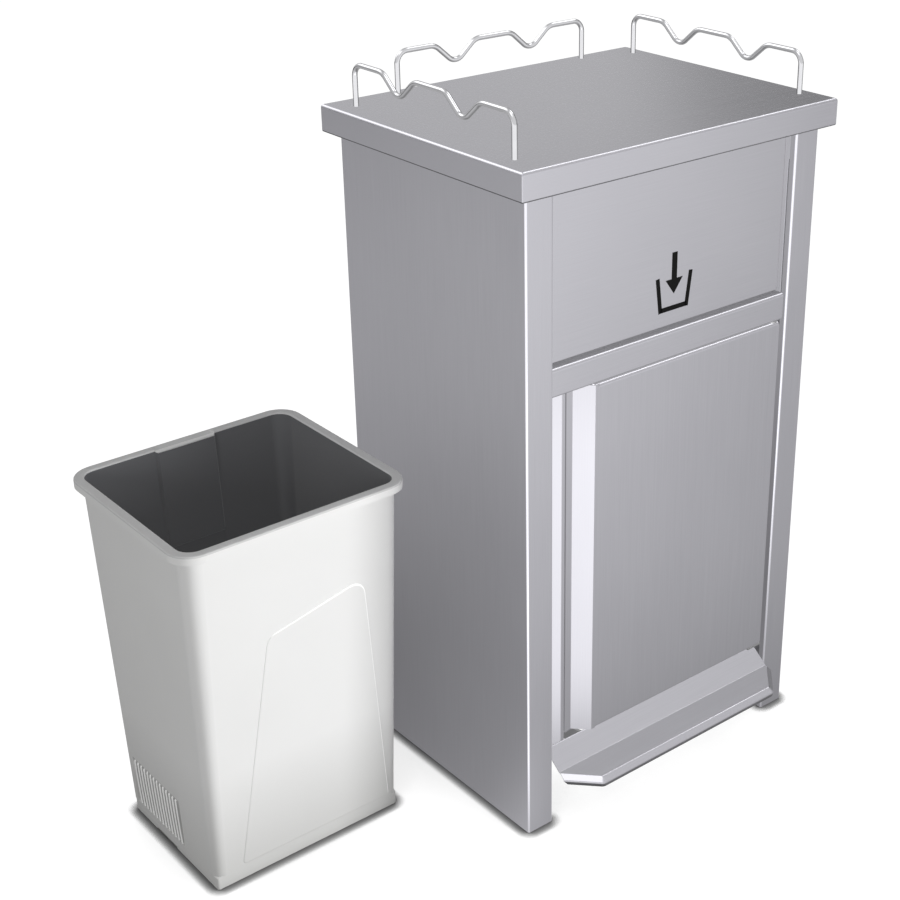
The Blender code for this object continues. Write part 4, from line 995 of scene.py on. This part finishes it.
lean = (bin_top_half - BIN_BASE / 2) / (bin_height - PLINTH)
front_up = unit(np.array((0.0, -lean[1], 1.0)))
front_out = unit(np.array((0.0, -1.0, -lean[1])))
front_foot = np.array((bin_middle[0], bin_middle[1] - BIN_BASE[1] / 2, PLINTH))
outline = rounded_path(
    [(0.0, EMBOSS_LOW), (EMBOSS_FOOT[1], EMBOSS_LOW), (EMBOSS_HEAD[1], EMBOSS_TOP[1]),
     (EMBOSS_HEAD[0], EMBOSS_TOP[0]), (EMBOSS_FOOT[0], EMBOSS_LOW), (0.0, EMBOSS_LOW)],
    [EMBOSS_FOOT_CORNER, EMBOSS_CORNER, EMBOSS_CORNER, EMBOSS_FOOT_CORNER], 10)[:-1]
inwards = left_of(np.concatenate((outline[-1:], outline, outline[:1])))[1:-1]
rise = [(0.0, -EMBOSS_ROOT), (0.0, 0.0)]
rise += list(zip(EMBOSS_ROUND * FADE_IN, EMBOSS_HEIGHT * np.sin(QUARTER)))[1:]
rise += [(EMBOSS_ROUND + EASE, EMBOSS_HEIGHT)]
move, lift = np.array(rise).T
flat = outline + inwards * move[:, None, None]
wedge = EMBOSS_LEAST + (1 - EMBOSS_LEAST) * smooth_step(flat[..., :1], *EMBOSS_HEAD)
panel_points = (front_foot + flat[..., :1] * np.array((1.0, 0.0, 0.0))
                + (flat[..., 1:] - PLINTH) * front_up + lift[:, None, None] * wedge * front_out)
raised = piece("bin_raised_panel", [lofted(panel_points)], BIN_OUTSIDE, "bin")
directions, middles = face_ways(raised)
lit_edge = (directions @ front_out < EMBOSS_FLAT) & (directions[:, 0] + directions[:, 2] > EMBOSS_LIT)
refinish(raised, BIN_HIGHLIGHT, lit_edge)

# %% Ribs of the bin
RIB_WIDTH = 0.0042
RIB_SIDE = 0.85
RIB_PROUD = 0.0018
RIB_DRAW = 0.002
RIB_START = 0.05
ROOT = 0.001

left_up = unit(np.array((-lean[0], 0.0, 1.0)))
left_in = unit(np.array((1.0, 0.0, lean[0])))
left_foot = np.array((bin_middle[0] - BIN_BASE[0] / 2, bin_middle[1] + RIB_MIDDLE, PLINTH))
share = np.concatenate((np.linspace(0.0, RIB_START, 6), np.linspace(RIB_START, 1.0, 12)[1:],
                        [1.0 + RIB_START / 4]))
rib_height = rib_head - RIB_LENGTH * share
crest = RIB_DRAW * share ** 2 + ROOT / 2 - (RIB_PROUD + ROOT / 2) * smooth_step(share, 0.0, RIB_START)
root = scoop_depth(np.maximum(rib_height, RIB_LOW)) + ROOT
turn = np.linspace(math.pi / 2, -math.pi / 2, 9)
head_in = crest[:, None] + RIB_WIDTH / 2 * (1 - np.cos(turn))
head_across = np.broadcast_to(RIB_WIDTH / 2 * np.sin(turn), head_in.shape)
foot_in = np.maximum(root, head_in[:, 0])[:, None] + ROOT
depth = np.concatenate((foot_in, head_in, foot_in), axis=1)
sideways = np.concatenate((head_across[:, :1], head_across, head_across[:, -1:]), axis=1)
rib = ((rib_height - PLINTH)[:, None, None] * left_up + depth[..., None] * left_in
       + sideways[..., None] * np.array((0.0, 1.0, 0.0)))
rib_places = (np.arange(RIB_COUNT) - (RIB_COUNT - 1) / 2) * RIB_PITCH
rib_shells = [lofted(rib + left_foot + np.array((0.0, place, 0.0))) for place in rib_places]
# The ribs take the paler colour, a painted highlight on their heads.
ribs = piece("bin_ribs", rib_shells, BIN_HIGHLIGHT, "bin")
# The ribs' sides take the hollow's darker colour: painted shade.
refinish(ribs, BIN_HOLLOW_SHADE, np.abs(face_ways(ribs)[0][:, 1]) > RIB_SIDE)

# %% [markdown]
# ## Pieces kept from the solids
# The linkage, the bearings, the shelf and the plates beside the flap are simple shapes that the solids
# already have. They keep their form and only take a finish.

# %% Finishes of the kept solids
KEPT = {
    # The plates beside the flap get a paler colour: painted light.
    STEEL_PAINTED_LIGHT: ["left_flap_cheek", "right_flap_cheek"],
    # The header and the shelf get the darker inside colour: painted shade.
    STEEL_INSIDE_SHADE: ["front_header", "base_shelf"],
    STEEL_DEEP: ["left_shelf_angle", "right_shelf_angle"],
    TURNED: ["flap_axle", "flap_crank", "pedal_tube", "left_pedal_arm", "right_pedal_arm", "pedal_crank",
             "pull_rod", "door_top_pin", "door_bottom_pivot"],
    BUSH: ["left_flap_bush", "right_flap_bush", "left_pedal_bearing", "right_pedal_bearing", "door_catch"],
}
for look, names in KEPT.items():
    for name in names:
        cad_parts[name].visible_glossy = False
        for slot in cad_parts[name].material_slots:
            slot.material = look
print("kept solids:", sum(len(names) for names in KEPT.values()))

# %% [markdown]
# ## Floor, sky and lamps
# Metal shows what stands around it, so the room matters as much as the finish. The floor and the sky are
# white to the camera. In reflections they are a studio, bright near the camera and grey behind the cabinet,
# so that each face gets a tone of its own. Soft pools on the floor and windows in the sky brighten or darken
# one face at a time, and the floor is dark far behind, which draws the rods' edges.
#
# The floor shines by itself, so its shadows come from how open each spot is: a narrow dark line where a
# piece stands on it, and a wide thin veil around.

# %% Floor
FLOOR_HALF = 30.0
FLOOR_DROP = 0.0005
FLOOR_BASE = (0.15, 0.15, 0.15)
OPENNESS_SAMPLES = 8
CONTACT_REACH = 0.018
CONTACT_POWER = 6.0
VEIL_REACH = 0.14
VEIL = 0.60
VEIL_FULL = 0.3
VEIL_CLEAR = 0.68
GLOW_MIDDLE = 0.65
GLOW_ACROSS = -0.31
GLOW_DEEP = -0.40
GLOW_LEAST = 0.56
GLOW_MOST = 1.25
POOLS = [((-0.65, -1.05, 0.0), 1.1, 1.00),
         ((-0.25, -0.42, 0.0), 0.40, 0.75),
         ((-0.22, 0.15, 0.0), 1.6, -0.30),
         ((2.0, -3.0, 0.0), 1.3, 0.15),
         ((3.8, -2.8, 0.0), 1.2, -0.10)]
FAR_WAY = (0.6, 0.8, 0.0)
FAR_START = 1.7
FAR_END = 3.2
FAR_GLOW = 0.15
UNDER_GLOW = 0.9

floor_mesh = bpy.data.meshes.new("floor")
floor_corners = [(FLOOR_HALF * x, FLOOR_HALF * y, 0.0) for x, y in ((-1, -1), (1, -1), (1, 1), (-1, 1))]
floor_mesh.from_pydata(floor_corners, [], [(0, 1, 2, 3)])
floor = bpy.data.objects.new("floor", floor_mesh)
floor.location.z = -FLOOR_DROP
scene.collection.objects.link(floor)


def white_rays(net):
    """1 for a camera ray, and 1 for a ray that metal or glass sends."""
    path = net.add("LightPath", {})
    shiny = net.calc("MAXIMUM", path.outputs["Is Glossy Ray"], path.outputs["Is Transmission Ray"])
    return path.outputs["Is Camera Ray"], shiny


def pool(net, vector, middle, reach, strength):
    """A soft round pool of a strength about a point, which fades to nothing at its reach."""
    away = net.add("VectorMath", {0: vector, 1: middle}, operation="DISTANCE").outputs["Value"]
    return net.between(away, strength, 0.0, 0.0, reach, "SMOOTHSTEP")


def openness(net, reach):
    """How open the floor is to the room, 1 in the open and less beside a wall closer than the reach."""
    return net.add("AmbientOcclusion", {"Distance": reach}, samples=OPENNESS_SAMPLES).outputs["AO"]


look, net, shader = finish("floor_white")
camera_ray, shiny_ray = white_rays(net)
contact = net.calc("POWER", openness(net, CONTACT_REACH), CONTACT_POWER)
veil = net.between(openness(net, VEIL_REACH), VEIL, 1.0, VEIL_FULL, VEIL_CLEAR)
seen = net.calc("MULTIPLY", camera_ray, net.calc("MULTIPLY", contact, veil))
net.fill(shader, {"Base Color": FLOOR_BASE, "Roughness": 1.0, "Specular IOR Level": 0.0,
                  "Emission Color": WHITE, "Emission Strength": seen})
floor_mesh.materials.append(look)
print("floor:", 2 * FLOOR_HALF, "m")

# %% What the floor is in reflections
spot = net.place()
parts = net.add("SeparateXYZ", {"Vector": spot}).outputs
slope_x = net.calc("MULTIPLY", parts["X"], GLOW_ACROSS)
slope_y = net.calc("MULTIPLY", parts["Y"], GLOW_DEEP)
glow = net.calc("ADD", net.calc("ADD", slope_x, slope_y), GLOW_MIDDLE)
glow = net.calc("MAXIMUM", net.calc("MINIMUM", glow, GLOW_MOST), GLOW_LEAST)
for middle, reach, strength in POOLS:
    glow = net.calc("ADD", glow, pool(net, spot, middle, reach, strength))
far = net.add("VectorMath", {0: spot, 1: FAR_WAY}, operation="DOT_PRODUCT").outputs["Value"]
glow = net.calc("MULTIPLY", glow, net.between(far, 1.0, FAR_GLOW, FAR_START, FAR_END))
under = 1.0
for axis, start, stop in zip("XY", limits("left_side_panel")[0], limits("right_side_panel")[1]):
    stretch = {0: parts[axis], 1: (start + stop) / 2, 2: (stop - start) / 2}
    under = net.calc("MULTIPLY", net.add("Math", stretch, operation="COMPARE").outputs["Value"], under)
glow = net.calc("MULTIPLY", glow, net.between(under, 1.0, UNDER_GLOW, 0.0, 1.0))
mirrored = net.add("Emission", {"Strength": glow}).outputs["Emission"]
choice = net.add("MixShader", {"Fac": shiny_ray, 1: shader.outputs["BSDF"], 2: mirrored}).outputs["Shader"]
net.fill(net.nodes["Material Output"], {"Surface": choice})
print("pools on the floor:", len(POOLS))

# %% Sky
SKY_LIGHT = 0.22
SKY_LEFT = 0.65
SKY_RIGHT = 0.34
SKY_TURN = (0.675, 0.695)
SKY_FRONT = 0.26
SKY_FRONT_EDGE = 0.3
WINDOWS = [((-0.30, 0.70, 0.65), 0.60, 2.4),
           ((-0.35, -0.25, 0.90), 0.45, 2.0),
           ((0.66, 0.08, 0.75), 0.34, 3.6),
           ((0.93, 0.35, 0.08), 0.50, -0.28)]

world = bpy.data.worlds.new("studio")
scene.world = world
net = Net(world)
camera_ray, shiny_ray = white_rays(net)
heading = net.place("Generated")
way = net.add("SeparateXYZ", {"Vector": heading}).outputs
side = net.between(way["X"], SKY_LEFT, SKY_RIGHT, *SKY_TURN)
front = net.between(way["Y"], SKY_FRONT, 0.0, -SKY_FRONT_EDGE, SKY_FRONT_EDGE)
shown = net.calc("ADD", side, front)
for middle, reach, strength in WINDOWS:
    shown = net.calc("ADD", shown, pool(net, heading, middle, reach, strength))
plain = net.between(camera_ray, SKY_LIGHT, 1.0, 0.0, 1.0)
level = net.add("Mix", {"Factor": shiny_ray, "A": plain, "B": shown}).outputs["Result"]
net.fill(net.nodes["Background"], {"Color": WHITE, "Strength": level})
print("sky in reflections:", SKY_LEFT, "to", SKY_RIGHT)

# %% [markdown]
# Three large lamps light the plastic, which mirrors little: a key from the right front, one from the left
# and a weak one overhead. The steel doesn't mirror them, since the sky's windows do that work.

# %% Lamps
LAMP_TARGET = np.array((0.0, 0.0, 0.5))
LAMPS = [("key", (2.2, -3.2, 0.9), 1.6, 180.0),
         ("left", (-3.2, -1.7, 1.2), 1.0, 47.0),
         ("overhead", (0.0, 0.3, 4.0), 3.0, 25.0)]

for name, place, size, power in LAMPS:
    lamp = bpy.data.lights.new(name, "AREA")
    lamp.size = size
    lamp.energy = power
    obj = bpy.data.objects.new(name, lamp)
    obj.location = place
    away = np.array(place) - LAMP_TARGET
    obj.rotation_euler = (math.atan2(math.hypot(*away[:2]), away[2]), 0.0, math.atan2(away[0], -away[1]))
    obj.visible_glossy = False
    scene.collection.objects.link(obj)
print("lamps:", len(LAMPS))
